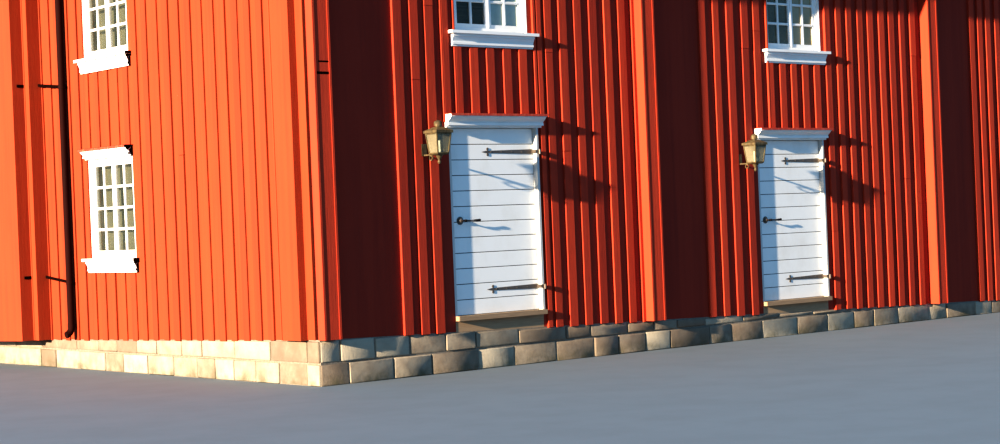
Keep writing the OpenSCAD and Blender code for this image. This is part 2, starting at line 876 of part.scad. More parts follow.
// Wall plate, arm under the lantern's base rail and the scroll between them
module lantern_brackets() {
    arm_z = -lantern_h - lantern_bar;
    rear = body_half(lantern_h + lantern_bar - arm_t) + bed_gap;
    color("darkkhaki") at_lanterns() {
        translate([-plate_w / 2, lantern_out - plate_t, arm_z])
            cube([plate_w, plate_t, plate_h]);
        translate([-arm_t / 2, rear, arm_z]) cube([arm_t, lantern_out - rear - joint_gap, arm_t]);
        translate([-arm_t / 2, rear + 2 * scroll_r, arm_z - scroll_r + joint_gap])
            rotate([0, 90, 0])
                difference() {
                    cylinder(r = scroll_r, h = arm_t);
                    translate([0, 0, -joint_gap]) cylinder(r = scroll_r - arm_t / 2, h = arm_t + 2 * joint_gap);
                }
    }
}

// ROOF
roof_l = front_l + 2 * overhang;
roof_w = end_l + 2 * overhang;
ridge_rise = roof_w / 2 * tan(pitch);

// One long slope as a sloping slab seen from the end, cut back to the hips
module long_slope() {
    intersection() {
        translate([-roof_l / 2, -roof_w / 2, roof_foot])
            rotate([90, 0, 90])
                linear_extrude(roof_l)
                    polygon([[0, 0], [roof_w / 2, ridge_rise], [roof_w / 2, ridge_rise + roof_t], [0, roof_t]]);
        linear_extrude(far)
            polygon([[-roof_l / 2, -roof_w / 2], [roof_l / 2, -roof_w / 2],
                     [(roof_l - roof_w) / 2, 0], [-(roof_l - roof_w) / 2, 0]]);
    }
}

// The left slope: the same slab along Y between the two hips
module end_slope() {
    intersection() {
        translate([-roof_l / 2, roof_w / 2, roof_foot])
            rotate([90, 0, 0])
                linear_extrude(roof_w)
                    polygon([[0, 0], [roof_w / 2, ridge_rise], [roof_w / 2, ridge_rise + roof_t], [0, roof_t]]);
        linear_extrude(far)
            polygon([[-roof_l / 2, -roof_w / 2], [-(roof_l - roof_w) / 2, 0], [-roof_l / 2, roof_w / 2]]);
    }
}

module front_roof() { color(clay) long_slope(); }
module back_roof() { color(clay) rotate([0, 0, 180]) long_slope(); }
module left_roof() { color(clay) end_slope(); }
module right_roof() { color(clay) rotate([0, 0, 180]) end_slope(); }

// Boards round the eaves between two distances from the walls: the long ones
// run through and the end ones fit between them
joint_gap = 1;
module eaves_boards(out0, out1, z0, z1) {
    x0 = front_l / 2 + out0;
    x1 = front_l / 2 + out1;
    y0 = end_l / 2 + out0;
    y1 = end_l / 2 + out1;
    for (side = [0, 180])
        rotate([0, 0, side]) {
            block([-x1, -y1, z0], [x1, -y0, z1]);
            block([-x1, joint_gap - y0, z0], [-x0, y0 - joint_gap, z1]);
        }
}

module soffit() {
    color(red) eaves_boards(0, overhang - eaves_board_t, eaves_z, eaves_z + eaves_board_t);
}

module fascia() {
    color(red) eaves_boards(overhang - eaves_board_t, overhang, eaves_z, roof_foot);
}

// A half-round gutter along a fascia of length l, w / 2 from the middle, mitred at its ends
module gutter_run(l, w) {
    reach = 2 * gutter_r;
    intersection() {
        translate([-l / 2 - reach, -w / 2 - gutter_r, roof_foot])
            rotate([90, 0, 90])
                linear_extrude(l + 2 * reach)
                    difference() {
                        circle(r = gutter_r, $fn = 12);
                        circle(r = gutter_r - gutter_t, $fn = 12);
                        translate([-reach, 0]) square(2 * reach);
                    }
        linear_extrude(far)
            polygon([[joint_gap - l / 2, -w / 2], [l / 2 - joint_gap, -w / 2],
                     [l / 2 + reach - joint_gap, -w / 2 - reach],
                     [joint_gap - l / 2 - reach, -w / 2 - reach]]);
    }
}

module gutters() {
    color(iron)
        for (side = [0, 180]) {
            rotate([0, 0, side]) gutter_run(roof_l, roof_w);
            rotate([0, 0, side + 90]) gutter_run(roof_w, roof_l);
        }
}

// A straight pipe of length l that starts at the origin and runs down, with a
// sleeve over its joint at each end
module pipe_run(l) {
    translate([0, 0, joint_gap - l]) cylinder(r = pipe_r, h = l - 2 * joint_gap);
    for (z = [-l - sleeve_lap, sleeve_lap - sleeve_l])
        translate([0, 0, z]) cylinder(r = pipe_r + gutter_t, h = sleeve_l);
}

// A bend of the downpipe in the XZ plane: starts at the origin running down and
// turns towards +X
module pipe_elbow() {
    translate([pipe_bend, 0, 0])
        rotate([90, 0, 0])
            rotate([0, 0, 180])
                rotate_extrude(angle = pipe_slant) translate([pipe_bend, 0]) circle(r = pipe_r);
}

// From the gutter's outlet under the soffit to the wall, down and out at the foot
module downpipe() {
    outlet_x = -overhang - gutter_r;
    wall_x = -pipe_r - pipe_off;
    slant_l = (wall_x - outlet_x - 2 * pipe_bend * (1 - cos(pipe_slant))) / sin(pipe_slant);
    outlet_z = roof_foot - gutter_r - bed_gap - sleeve_lap;
    bend_z = eaves_z - pipe_r - gutter_r;
    color(iron) from_corner() {
        translate([outlet_x, pipe_y, outlet_z]) pipe_run(outlet_z - bend_z);
        translate([outlet_x, pipe_y, bend_z]) pipe_elbow();
        translate([outlet_x + pipe_bend * (1 - cos(pipe_slant)), pipe_y, bend_z - pipe_bend * sin(pipe_slant)])
            rotate([0, -pipe_slant, 0]) pipe_run(slant_l);
        neck_z = bend_z - 2 * pipe_bend * sin(pipe_slant) - slant_l * cos(pipe_slant);
        translate([wall_x, pipe_y, neck_z]) rotate([0, 180, 0]) pipe_elbow();
        foot = foot_left(pipe_y) + shoe_z + pipe_bend * sin(pipe_slant);
        translate([wall_x, pipe_y, neck_z]) pipe_run(neck_z - foot);
        translate([wall_x, pipe_y, foot]) mirror([1, 0, 0]) pipe_elbow();
        for (z = pipe_clip_zs)
            translate([wall_x, pipe_y, z]) {
                cylinder(r = pipe_r + gutter_t, h = gutter_strap_w);
                translate([0, -gutter_strap_w / 2, 0])
                    cube([-wall_x, gutter_strap_w, gutter_strap_w]);
            }
    }
}

// Clips that hold the downpipe to the wall
pipe_clip_zs = [pipe_clip_z - storey_h, pipe_clip_z];

long_plinths();
end_plinths();
ground_floor();
upper_floor();
attic_floor();
front_piers();
front_lintels();
front_wall_upper();
left_wall();
right_wall();
back_wall();
rear_bay_boarding();
front_pilasters();
corner_boxes();
end_casings();
end_pilaster();
thresholds();
door_posts();
door_stops();
door_heads();
door_cornices();
door_leaf_1();
door_leaf_2();
door_leaf_3();
door_ironwork_1();
door_ironwork_2();
door_ironwork_3();
hinge_pintles();
door_lever_1();
door_lever_2();
door_lever_3();
window_frames();
window_sashes();
window_glass();
window_sills();
window_crowns();
lanterns();
lantern_glass();
lantern_brackets();
front_roof();
back_roof();
left_roof();
right_roof();
soffit();
fascia();
gutters();
downpipe();
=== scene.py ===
"""Looks of a two-storey red timber building: cladding, glazing, tiles, stones, ironwork and finishes.

Everything is in metres. The door front faces -Y, the sunlit end faces -X and +Z is up. The solids of
the building come from the frame, and each piece made here is placed from the boxes of those solids.
"""

import logging
import math
import random
from abc import ABC, abstractmethod
from dataclasses import dataclass, field
from enum import Enum
from typing import Iterable, Optional, Union

import bmesh
import bpy
from mathutils import Matrix, Vector


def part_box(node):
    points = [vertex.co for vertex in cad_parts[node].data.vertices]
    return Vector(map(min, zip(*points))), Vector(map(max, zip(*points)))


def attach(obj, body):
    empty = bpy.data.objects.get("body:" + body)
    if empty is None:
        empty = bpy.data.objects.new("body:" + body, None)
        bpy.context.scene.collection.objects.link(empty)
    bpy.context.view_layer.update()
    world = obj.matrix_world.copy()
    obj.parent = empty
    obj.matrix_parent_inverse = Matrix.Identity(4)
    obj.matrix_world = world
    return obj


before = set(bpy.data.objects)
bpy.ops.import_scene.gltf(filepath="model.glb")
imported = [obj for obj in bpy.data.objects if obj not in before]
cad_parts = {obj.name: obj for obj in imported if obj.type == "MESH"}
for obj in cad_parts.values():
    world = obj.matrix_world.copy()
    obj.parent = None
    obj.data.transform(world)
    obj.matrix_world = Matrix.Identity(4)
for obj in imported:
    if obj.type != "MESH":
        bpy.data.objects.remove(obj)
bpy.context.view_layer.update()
LOG = logging.getLogger("building")
ROOT = "root"
DOORS = (1, 2, 3)
RGB = tuple[float, float, float]
Scale = tuple[float, float, float]
Place = tuple[float, float, float]
Number = Union[int, float, "Value"]

# Name of the mesh attribute that holds the tint of each part of a piece
TINT = "tint"
# Distance under which two corners are the same
WELD = 1e-5
# Play between a piece and what it lies on or fits into
PLAY = 0.001
# Least cosine of the angle between two directions that count as one
ALIGNED = 0.999
# Largest angle between faces that are shaded as one round surface
ROUND_ANGLE = math.radians(38)
# Depth behind the wall faces to which boards are painted
PAINT_DEPTH = 0.17
# Usual distance between the middles of the cover strips, and so the width of a board
BOARD_PITCH = 0.2225
# Height of the boarding's foot at the sunlit corner, at the far end and at the rear
PLINTH_NEAR = 0.46
PLINTH_FAR = 0.08
PLINTH_REAR = 0.285
# Room that the cover strips leave on the left and on the right of a door's casing
DOOR_MARGIN_LEFT = 0.07
DOOR_MARGIN_RIGHT = 0.03
# Levels below the ground and above the roof, between which a casing cuts the cover strips
BELOW_ALL = -1.0
ABOVE_ALL = 99.0
# Widest piece along a wall that cuts its cover strips
WIDEST_CASING = 2.5
# Distance from a window's middle within which a sill or crown belongs to it
WINDOW_REACH = 0.85
# Upright thickness of the roof's slabs at the eaves
ROOF_SLAB = 0.12


class Axis(Enum):
    """The three directions of the building."""

    X = 0
    Y = 1
    Z = 2


class Side(Enum):
    """The four walls of the building."""

    FRONT = "front"
    LEFT = "left"
    RIGHT = "right"
    BACK = "back"


class Value:
    """A shader socket that takes part in arithmetic."""

    def __init__(self, graph: "Graph", socket: bpy.types.NodeSocket) -> None:
        """Wraps one output socket of a graph."""
        self.graph = graph
        self.socket = socket

    def _math(self, operation: str, *operands: Number) -> "Value":
        """Adds one Math node.

        Args:
            operation: The node's operation.
            operands: Numbers or values, in the order of its sockets.

        Returns:
            The node's result.
        """
        return self.graph.add("ShaderNodeMath", {"operation": operation}, dict(enumerate(operands)))

    def __add__(self, other: Number) -> "Value":
        """Sum."""
        return self._math("ADD", self, other)

    __radd__ = __add__

    def __sub__(self, other: Number) -> "Value":
        """Difference."""
        return self._math("SUBTRACT", self, other)

    def __rsub__(self, other: Number) -> "Value":
        """Difference from a number."""
        return self._math("SUBTRACT", other, self)

    def __mul__(self, other: Number) -> "Value":
        """Product."""
        return self._math("MULTIPLY", self, other)

    __rmul__ = __mul__

    def __truediv__(self, other: Number) -> "Value":
        """Quotient."""
        return self._math("DIVIDE", self, other)

    def __rtruediv__(self, other: Number) -> "Value":
        """A number divided by this value."""
        return self._math("DIVIDE", other, self)

    def __gt__(self, other: Number) -> "Value":
        """1 where this value is greater, else 0."""
        return self._math("GREATER_THAN", self, other)

    def __lt__(self, other: Number) -> "Value":
        """1 where this value is less, else 0."""
        return self._math("LESS_THAN", self, other)

    def floor(self) -> "Value":
        """Largest whole number below."""
        return self._math("FLOOR", self)

    def fract(self) -> "Value":
        """Part after the point."""
        return self._math("FRACT", self)

    def absolute(self) -> "Value":
        """Value without its sign."""
        return self._math("ABSOLUTE", self)

    def ramp(self, low: float, high: float) -> "Value":
        """Rises smoothly from 0 at low to 1 at high, or falls where low is the greater.

        Args:
            low: Value that gives 0.
            high: Value that gives 1.

        Returns:
            The ramped value.
        """
        return self.graph.add(
            "ShaderNodeMapRange",
            {"interpolation_type": "SMOOTHSTEP", "clamp": True},
            {"Value": self, "From Min": low, "From Max": high},
        )


class Graph:
    """Node tree of one material around a Principled shader."""

    def __init__(self, name: str) -> None:
        """Makes an empty material with its shader and output.

        Args:
            name: The material's name.
        """
        self.material = bpy.data.materials.new(name)
        self.material.use_nodes = True
        self.tree = self.material.node_tree
        self.shader = self.tree.nodes["Principled BSDF"]

    def add(self, kind: str, settings: dict, sockets: dict, out: Union[int, str] = 0) -> Value:
        """Adds a node.

        Args:
            kind: The node's type.
            settings: Properties that are set before its sockets.
            sockets: Values or links by the input's name or number.
            out: Name or number of the output to return.

        Returns:
            The chosen output.
        """
        node = self.tree.nodes.new(kind)
        for key, value in settings.items():
            setattr(node, key, value)
        for key, value in sockets.items():
            if isinstance(value, Value):
                self.tree.links.new(value.socket, node.inputs[key])
            else:
                node.inputs[key].default_value = value
        return Value(self, node.outputs[out])

    def place(self) -> Value:
        """Object coordinates in metres."""
        return self.add("ShaderNodeTexCoord", {}, {}, "Object")

    def split(self, vector: Value, axis: Axis) -> Value:
        """One component of a vector."""
        return self.add("ShaderNodeSeparateXYZ", {}, {0: vector}, axis.value)

    def stretched(self, scale: Scale) -> Value:
        """Object coordinates times a scale for each axis."""
        return self.add("ShaderNodeVectorMath", {"operation": "MULTIPLY"}, {0: self.place(), 1: scale})

    def noise(self, scale: Scale, detail: float = 4.0, roughness: float = 0.55) -> Value:
        """Noise on object coordinates.

        Args:
            scale: Features a metre along each axis.
            detail: Number of octaves.
            roughness: Weight of the finer octaves.

        Returns:
            Noise from 0 to 1, about 0.5.
        """
        sockets = {"Vector": self.stretched(scale), "Scale": 1.0, "Detail": detail, "Roughness": roughness}
        return self.add("ShaderNodeTexNoise", {}, sockets)

    def cells(self, scale: Scale, feature: str = "F1") -> Value:
        """Distance in a Voronoi pattern on object coordinates."""
        sockets = {"Vector": self.stretched(scale), "Scale": 1.0}
        return self.add("ShaderNodeTexVoronoi", {"feature": feature}, sockets, "Distance")

    def random_by(self, number: Value) -> Value:
        """A random value from 0 to 1 for each number."""
        return self.add("ShaderNodeTexWhiteNoise", {"noise_dimensions": "1D"}, {"W": number}, "Value")

    def tint(self) -> Value:
        """The piece's own tint attribute, 0 where it has none."""
        return self.add("ShaderNodeAttribute", {"attribute_name": TINT}, {}, "Fac")

    def mix(self, factor: Number, first: Union[RGB, Value], second: Union[RGB, Value]) -> Value:
        """Blends two colours.

        Args:
            factor: Share of the second colour.
            first: Colour at 0.
            second: Colour at 1.

        Returns:
            The blended colour.
        """
        sockets = {0: factor}
        # The node keeps its colours behind the sockets for numbers and vectors
        for key, colour in ((6, first), (7, second)):
            sockets[key] = colour if isinstance(colour, Value) else (*colour, 1.0)
        return self.add("ShaderNodeMix", {"data_type": "RGBA"}, sockets, 2)

    def set(self, **inputs: Union[Number, tuple]) -> None:
        """Sets or links the shader's inputs, with underscores for blanks in their names.

        Args:
            inputs: Numbers, colours or values by the input's name.
        """
        for key, value in inputs.items():
            socket = self.shader.inputs[key.replace("_", " ")]
            if isinstance(value, Value):
                self.tree.links.new(value.socket, socket)
            else:
                socket.default_value = value

    def bump(self, height: Value, depth: float, strength: float = 1.0) -> None:
        """Links a bump of a depth in metres to the shader's normal."""
        sockets = {"Height": height, "Distance": depth, "Strength": strength}
        self.set(Normal=self.add("ShaderNodeBump", {}, sockets, "Normal"))


@dataclass(frozen=True)
class Finish(ABC):
    """A surface finish that is made once and shared by its pieces."""

    name: str

    @abstractmethod
    def paint(self, graph: Graph) -> None:
        """Builds the nodes of the finish."""

    def material(self) -> bpy.types.Material:
        """The finish's material, made at the first call.

        Returns:
            The material.
        """
        found = bpy.data.materials.get(self.name)
        if found:
            return found
        graph = Graph(self.name)
        self.paint(graph)
        return graph.material


@dataclass(frozen=True)
class RedPaint(Finish):
    """Matt red paint on rough sawn boards that stand upright or lie along the wall."""

    across: Axis = Axis.X
    fresh: RGB = (0.44, 0.060, 0.0270)
    worn: RGB = (0.31, 0.040, 0.0215)
    bare: RGB = (0.15, 0.045, 0.028)
    timber: RGB = (0.17, 0.115, 0.068)
    pitch: float = BOARD_PITCH
    streaks: Scale = (16.0, 16.0, 0.5)
    fibres: Scale = (170.0, 170.0, 5.0)
    blotches: Scale = (2.6, 2.6, 1.4)
    relief: float = 0.0035

    def paint(self, graph: Graph) -> None:
        """Tone by board, streaks and grain along the boards, and worn specks.

        Args:
            graph: The material's graph.
        """
        board = (graph.split(graph.place(), self.across) / self.pitch).floor()
        tone = graph.random_by(board) * 0.35 + graph.tint() * 0.65
        streak = graph.noise(self.streaks, 5.0, 0.6)
        grain = graph.noise(self.fibres, 5.0, 0.65)
        blotch = graph.noise(self.blotches, 3.0)
        age = (tone * 0.5 + streak * 0.7 + blotch * 0.35 - 0.35).ramp(0.05, 0.75)
        colour = graph.mix(age, self.fresh, self.worn)
        specks = (grain * streak).ramp(0.36, 0.46) * 0.5
        graph.set(
            Base_Color=graph.mix(self.indoors(graph), graph.mix(specks, colour, self.bare), self.timber),
            Roughness=0.72 + grain * 0.22,
            Specular_IOR_Level=0.25,
        )
        graph.bump(grain * 0.7 + streak * 0.6, self.relief, 0.9)

    def indoors(self, graph: Graph) -> Value:
        """1 on surfaces inside the building, which are unpainted.

        Args:
            graph: The material's graph.

        Returns:
            The mask.
        """
        half = node_box("long_plinths").size / 2
        along, inward = (graph.split(graph.place(), axis).absolute() for axis in (Axis.X, Axis.Y))
        return (half.x - PAINT_DEPTH > along) * (half.y - PAINT_DEPTH > inward)


@dataclass(frozen=True)
class WhitePaint(Finish):
    """Oil paint on planed wood, with brush marks and a little dirt."""

    clean: RGB = (0.74, 0.76, 0.75)
    dirty: RGB = (0.56, 0.55, 0.50)
    marks: Scale = (3.0, 120.0, 120.0)
    clouds: Scale = (3.5, 3.5, 2.5)
    specks: Scale = (60.0, 60.0, 45.0)
    relief: float = 0.0012

    def paint(self, graph: Graph) -> None:
        """Brush marks, soft yellowing, and dirt in specks.

        Args:
            graph: The material's graph.
        """
        brush = graph.noise(self.marks, 4.0)
        cloud = graph.noise(self.clouds, 4.0)
        specks = graph.noise(self.specks, 4.0, 0.7).ramp(0.63, 0.72)
        dirt = cloud.ramp(0.45, 0.8) * 0.35 + specks * 0.35 + brush.ramp(0.6, 0.8) * 0.12
        graph.set(
            Base_Color=graph.mix(dirt, self.clean, self.dirty),
            Roughness=0.38 + cloud * 0.25,
            Specular_IOR_Level=0.4,
        )
        graph.bump(brush * 0.6 + cloud * 0.4, self.relief, 0.6)


@dataclass(frozen=True)
class PlinthStone(Finish):
    """Rough split stone with a grain of its own on each block."""

    pale: RGB = (0.36, 0.33, 0.26)
    dark: RGB = (0.17, 0.135, 0.10)
    moss: RGB = (0.085, 0.09, 0.045)
    damp_top: float = 0.16
    clouds: Scale = (5.0, 5.0, 5.0)
    grains: Scale = (70.0, 70.0, 70.0)
    relief: float = 0.012

    def paint(self, graph: Graph) -> None:
        """Blocks in several tones, pitted, with a greenish foot.

        Args:
            graph: The material's graph.
        """
        cloud = graph.noise(self.clouds, 6.0, 0.65)
        grit = graph.noise(self.grains, 5.0, 0.7)
        tone = (cloud * 0.9 + graph.tint() * 0.7 - 0.35).ramp(0.0, 0.9)
        height = graph.split(graph.place(), Axis.Z)
        damp = height.ramp(self.damp_top, 0.0) * cloud.ramp(0.4, 0.7) * 0.6
        colour = graph.mix(grit.ramp(0.55, 0.75) * 0.5, graph.mix(tone, self.pale, self.dark), self.dark)
        graph.set(Base_Color=graph.mix(damp, colour, self.moss), Roughness=0.86 + grit * 0.1)
        graph.bump(cloud * 0.8 + grit * 0.3, self.relief, 0.8)


@dataclass(frozen=True)
class ForgedIron(Finish):
    """Forged iron under oil paint, with hammer marks and some rust."""

    coat: RGB = (0.020, 0.021, 0.024)
    rust: RGB = (0.16, 0.062, 0.025)
    blows: Scale = (55.0, 55.0, 55.0)
    clouds: Scale = (24.0, 24.0, 24.0)
    relief: float = 0.0015

    def paint(self, graph: Graph) -> None:
        """Hammer marks in the surface and rust where the paint has gone.

        Args:
            graph: The material's graph.
        """
        dents = graph.cells(self.blows, "SMOOTH_F1")
        cloud = graph.noise(self.clouds, 5.0, 0.65)
        rust = cloud.ramp(0.56, 0.72) * 0.7
        graph.set(
            Base_Color=graph.mix(rust, self.coat, self.rust),
            Roughness=0.42 + rust * 0.45,
            Metallic=0.55 - rust * 0.5,
        )
        graph.bump(dents * 0.6 + cloud * 0.3, self.relief, 0.7)


@dataclass(frozen=True)
class CasementReflection:
    """Painted reflection over the panes of one casement of the door front."""

    start: float
    end: float
    share: float
    tone: RGB


@dataclass(frozen=True)
class Glass(Finish):
    """Old drawn glass with dust on it."""

    body: RGB = (0.075, 0.085, 0.055)
    dust: RGB = (0.42, 0.41, 0.34)
    dust_share: float = 0.10
    clearness: float = 0.80
    reflections: tuple[CasementReflection, ...] = ()
    clouds: Scale = (6.0, 6.0, 4.0)
    panes: Scale = (1.7, 1.7, 1.3)
    waves: Scale = (9.0, 9.0, 5.0)
    relief: float = 0.002

    def paint(self, graph: Graph) -> None:
        """Dark body, a film of dust in clouds, slow waves, and painted reflections in the casements of the
        door front.

        Args:
            graph: The material's graph.
        """
        cloud = graph.noise(self.clouds, 5.0, 0.6)
        pane = graph.noise(self.panes, 1.0)
        film = cloud.ramp(0.35, 0.85) * self.dust_share + pane.ramp(0.4, 0.7) * self.dust_share
        along, inward = graph.split(graph.place(), Axis.X), graph.split(graph.place(), Axis.Y)
        colour, reflected = graph.mix(film, self.body, self.dust), 0.0
        # Painted reflections, each over the panes of one casement of the door front
        for reflection in self.reflections:
            inside = (along > reflection.start) * (along < reflection.end) * (inward < 0.0)
            share = inside * reflection.share * (0.55 + cloud * 0.35)
            colour, reflected = graph.mix(share, colour, reflection.tone), reflected + share
        graph.set(
            Base_Color=colour,
            Roughness=0.04 + film * 0.5,
            Alpha=1.0 - self.clearness + film * 0.6 + reflected,
            IOR=1.52,
            Specular_IOR_Level=0.8,
        )
        graph.bump(graph.noise(self.waves, 1.0), self.relief, 0.35)


@dataclass(frozen=True)
class AgedBrass(Finish):
    """Brass sheet gone brown, with green tarnish in the hollows."""

    bright: RGB = (0.21, 0.165, 0.085)
    brown: RGB = (0.075, 0.058, 0.034)
    green: RGB = (0.105, 0.120, 0.075)
    clouds: Scale = (22.0, 22.0, 14.0)
    runs: Scale = (60.0, 60.0, 7.0)
    patches: Scale = (34.0, 34.0, 20.0)
    relief: float = 0.0012

    def paint(self, graph: Graph) -> None:
        """Worn bright patches between brown and green ones.

        Args:
            graph: The material's graph.
        """
        cloud = graph.noise(self.clouds, 6.0, 0.65)
        age = (cloud * 0.7 + graph.noise(self.runs, 4.0) * 0.4).ramp(0.38, 0.68)
        tarnish = graph.noise(self.patches, 4.0).ramp(0.55, 0.68) * 0.7
        colour = graph.mix(age, self.bright, self.brown)
        graph.set(
            Base_Color=graph.mix(tarnish, colour, self.green),
            Roughness=0.46 + age * 0.3,
            Metallic=0.45 - tarnish * 0.3,
        )
        graph.bump(cloud, self.relief, 0.6)


@dataclass(frozen=True)
class ClayTile(Finish):
    """Fired clay tiles in several tones, with lichen."""

    light: RGB = (0.52, 0.20, 0.09)
    deep: RGB = (0.26, 0.085, 0.045)
    lichen: RGB = (0.33, 0.32, 0.24)
    clouds: Scale = (3.0, 3.0, 3.0)
    grains: Scale = (90.0, 90.0, 90.0)
    spots: Scale = (26.0, 26.0, 26.0)
    relief: float = 0.002

    def paint(self, graph: Graph) -> None:
        """Tone by tile, weather streaks, and lichen in round specks.

        Args:
            graph: The material's graph.
        """
        cloud = graph.noise(self.clouds, 5.0, 0.6)
        grit = graph.noise(self.grains, 4.0, 0.7)
        tone = (graph.tint() * 0.35 + cloud * 0.65 + 0.02).ramp(0.0, 1.0)
        growth = graph.cells(self.spots).ramp(0.38, 0.2) * cloud.ramp(0.48, 0.66) * 0.75
        graph.set(
            Base_Color=graph.mix(growth, graph.mix(tone, self.light, self.deep), self.lichen),
            Roughness=0.80 + grit * 0.15,
        )
        graph.bump(grit * 0.5 + cloud * 0.3, self.relief, 0.7)


@dataclass(frozen=True)
class PaintedSheet(Finish):
    """Painted sheet metal with slight dents and faded runs."""

    coat: RGB = (0.075, 0.024, 0.014)
    faded: RGB = (0.13, 0.050, 0.034)
    rough: float = 0.36
    gloss: float = 0.5
    runs: Scale = (30.0, 30.0, 2.5)
    dents: Scale = (7.0, 7.0, 7.0)
    relief: float = 0.004

    def paint(self, graph: Graph) -> None:
        """Fading in runs along the height.

        Args:
            graph: The material's graph.
        """
        runs = graph.noise(self.runs, 4.0)
        graph.set(
            Base_Color=graph.mix(runs.ramp(0.4, 0.72), self.coat, self.faded),
            Roughness=self.rough + runs * 0.3,
            Specular_IOR_Level=self.gloss,
        )
        graph.bump(graph.noise(self.dents, 2.0), self.relief, 0.5)


@dataclass(frozen=True)
class PlainWood(Finish):
    """Unpainted boards that lie along the building: floors, thresholds and the underside of the roof."""

    light: RGB = (0.40, 0.29, 0.18)
    dark: RGB = (0.20, 0.14, 0.09)
    gap: RGB = (0.03, 0.022, 0.016)
    board: float = 0.16
    fibres: Scale = (5.0, 110.0, 110.0)
    relief: float = 0.002

    def paint(self, graph: Graph) -> None:
        """Boards with their joints, tone by board and grain along them.

        Args:
            graph: The material's graph.
        """
        run = graph.split(graph.place(), Axis.Y) / self.board
        tone = graph.random_by(run.floor())
        joint = (run.fract() - 0.5).absolute().ramp(0.47, 0.495)
        grain = graph.noise(self.fibres, 5.0, 0.6)
        colour = graph.mix((tone * 0.5 + grain * 0.6).ramp(0.2, 0.9), self.light, self.dark)
        graph.set(Base_Color=graph.mix(joint * 0.8, colour, self.gap), Roughness=0.62 + grain * 0.25)
        graph.bump(grain * 0.4 - joint, self.relief, 0.7)


@dataclass(frozen=True)
class Speckled(Finish):
    """A simple finish of two near tones: tar and painted shade, painted shade in joints, wax, linen, mortar
    or the pale floor.
    """

    first: RGB
    second: RGB
    rough: float
    grains: float
    depth: float = 0.001
    gloss: float = 0.4
    glow: float = 0.0

    def paint(self, graph: Graph) -> None:
        """Soft clouds of the second tone, a fine grain, and light from within where it glows.

        Args:
            graph: The material's graph.
        """
        cloud = graph.noise((self.grains, self.grains, self.grains), 5.0, 0.6)
        tone = graph.mix(cloud.ramp(0.35, 0.7), self.first, self.second)
        graph.set(Base_Color=tone, Roughness=self.rough + cloud * 0.1, Specular_IOR_Level=self.gloss)
        if self.glow:
            graph.set(Emission_Color=tone, Emission_Strength=self.glow)
        graph.bump(cloud, self.depth, 0.5)


# Copies of one red paint: the long walls' copy is lighter and the end walls' copy darker, toned for the
# grazing sun on the one and the full sun on the other, as painted light and painted shade
RED_LONG = RedPaint("red_paint_long_walls_painted_light", Axis.X)
RED_END = RedPaint("red_paint_end_walls_painted_shade", Axis.Y, (0.32, 0.055, 0.0200), (0.25, 0.041, 0.0165))
# Darker copy of the red paint for the boards behind the cover strips: painted shade, standing in for the
# strips' shadow on them
RED_BEHIND_SHADED = RedPaint("red_paint_painted_shade_behind_strips", Axis.X, (0.29, 0.040, 0.0215), (0.21, 0.028, 0.0175))
WHITE = WhitePaint("white_oil_paint")
# Darker copy of the white paint for the door posts and stops: painted shade, which dims their sunlit faces
POST_WHITE_SHADED = WhitePaint("white_paint_painted_shade", (0.46, 0.475, 0.465), (0.36, 0.355, 0.32))
STONE = PlinthStone("split_stone")
IRON = ForgedIron("black_iron")
STRAP_IRON = ForgedIron("weathered_iron", (0.15, 0.13, 0.112), (0.21, 0.145, 0.105))
LANTERN_PANES = Glass("lantern_panes", (0.19, 0.18, 0.12), (0.36, 0.34, 0.26), 0.34, 0.60)
# Tones and shares of the painted reflections in the casements of the door front
OLIVE_REFLECTION = (0.37, 0.28, 0.13)
BLUE_REFLECTION = (0.34, 0.43, 0.40)
LEFT_REFLECTION_SHARE = 0.4
FIRST_LEFT_REFLECTION_SHARE = 0.1
BRASS = AgedBrass("aged_brass")
TILES = ClayTile("clay_tiles")
SHEET = PaintedSheet("painted_sheet")
PIPE_SHEET = PaintedSheet("dark_pipe_sheet", (0.017, 0.0028, 0.0022), (0.024, 0.0045, 0.0035), 0.65, 0.12)
RED_SHEET = PaintedSheet("red_sheet", coat=(0.40, 0.050, 0.020), faded=(0.50, 0.10, 0.05))
FLOOR_WOOD = PlainWood("floor_wood")
# Near-black finish: the real colour of the pipe ties and the corner board's joints, and painted shade in the
# corner slots and on the ends of the mouldings
TAR_AND_SHADE = Speckled("tar_and_painted_shade", (0.0060, 0.0016, 0.0012), (0.012, 0.0030, 0.0020), 0.85, 30.0, gloss=0.05)
# Near-black strips in the grooves between the door boards: painted shade of the grooves
JOINT_SHADE = Speckled("painted_joint_shade", (0.030, 0.032, 0.030), (0.065, 0.066, 0.06), 0.9, 35.0, gloss=0.1)
WAX = Speckled("ivory_wax", (0.85, 0.78, 0.48), (0.78, 0.70, 0.40), 0.5, 40.0, glow=4.5)
LINEN = Speckled("pale_linen", (0.15, 0.155, 0.105), (0.115, 0.12, 0.08), 0.9, 60.0, 0.0006, 0.1)
MORTAR = Speckled("lime_mortar", (0.24, 0.21, 0.17), (0.17, 0.15, 0.12), 0.9, 45.0, 0.004)
STUDIO = Speckled("pale_floor", (0.150, 0.190, 0.220), (0.140, 0.177, 0.205), 0.85, 1.5, 0.0005)


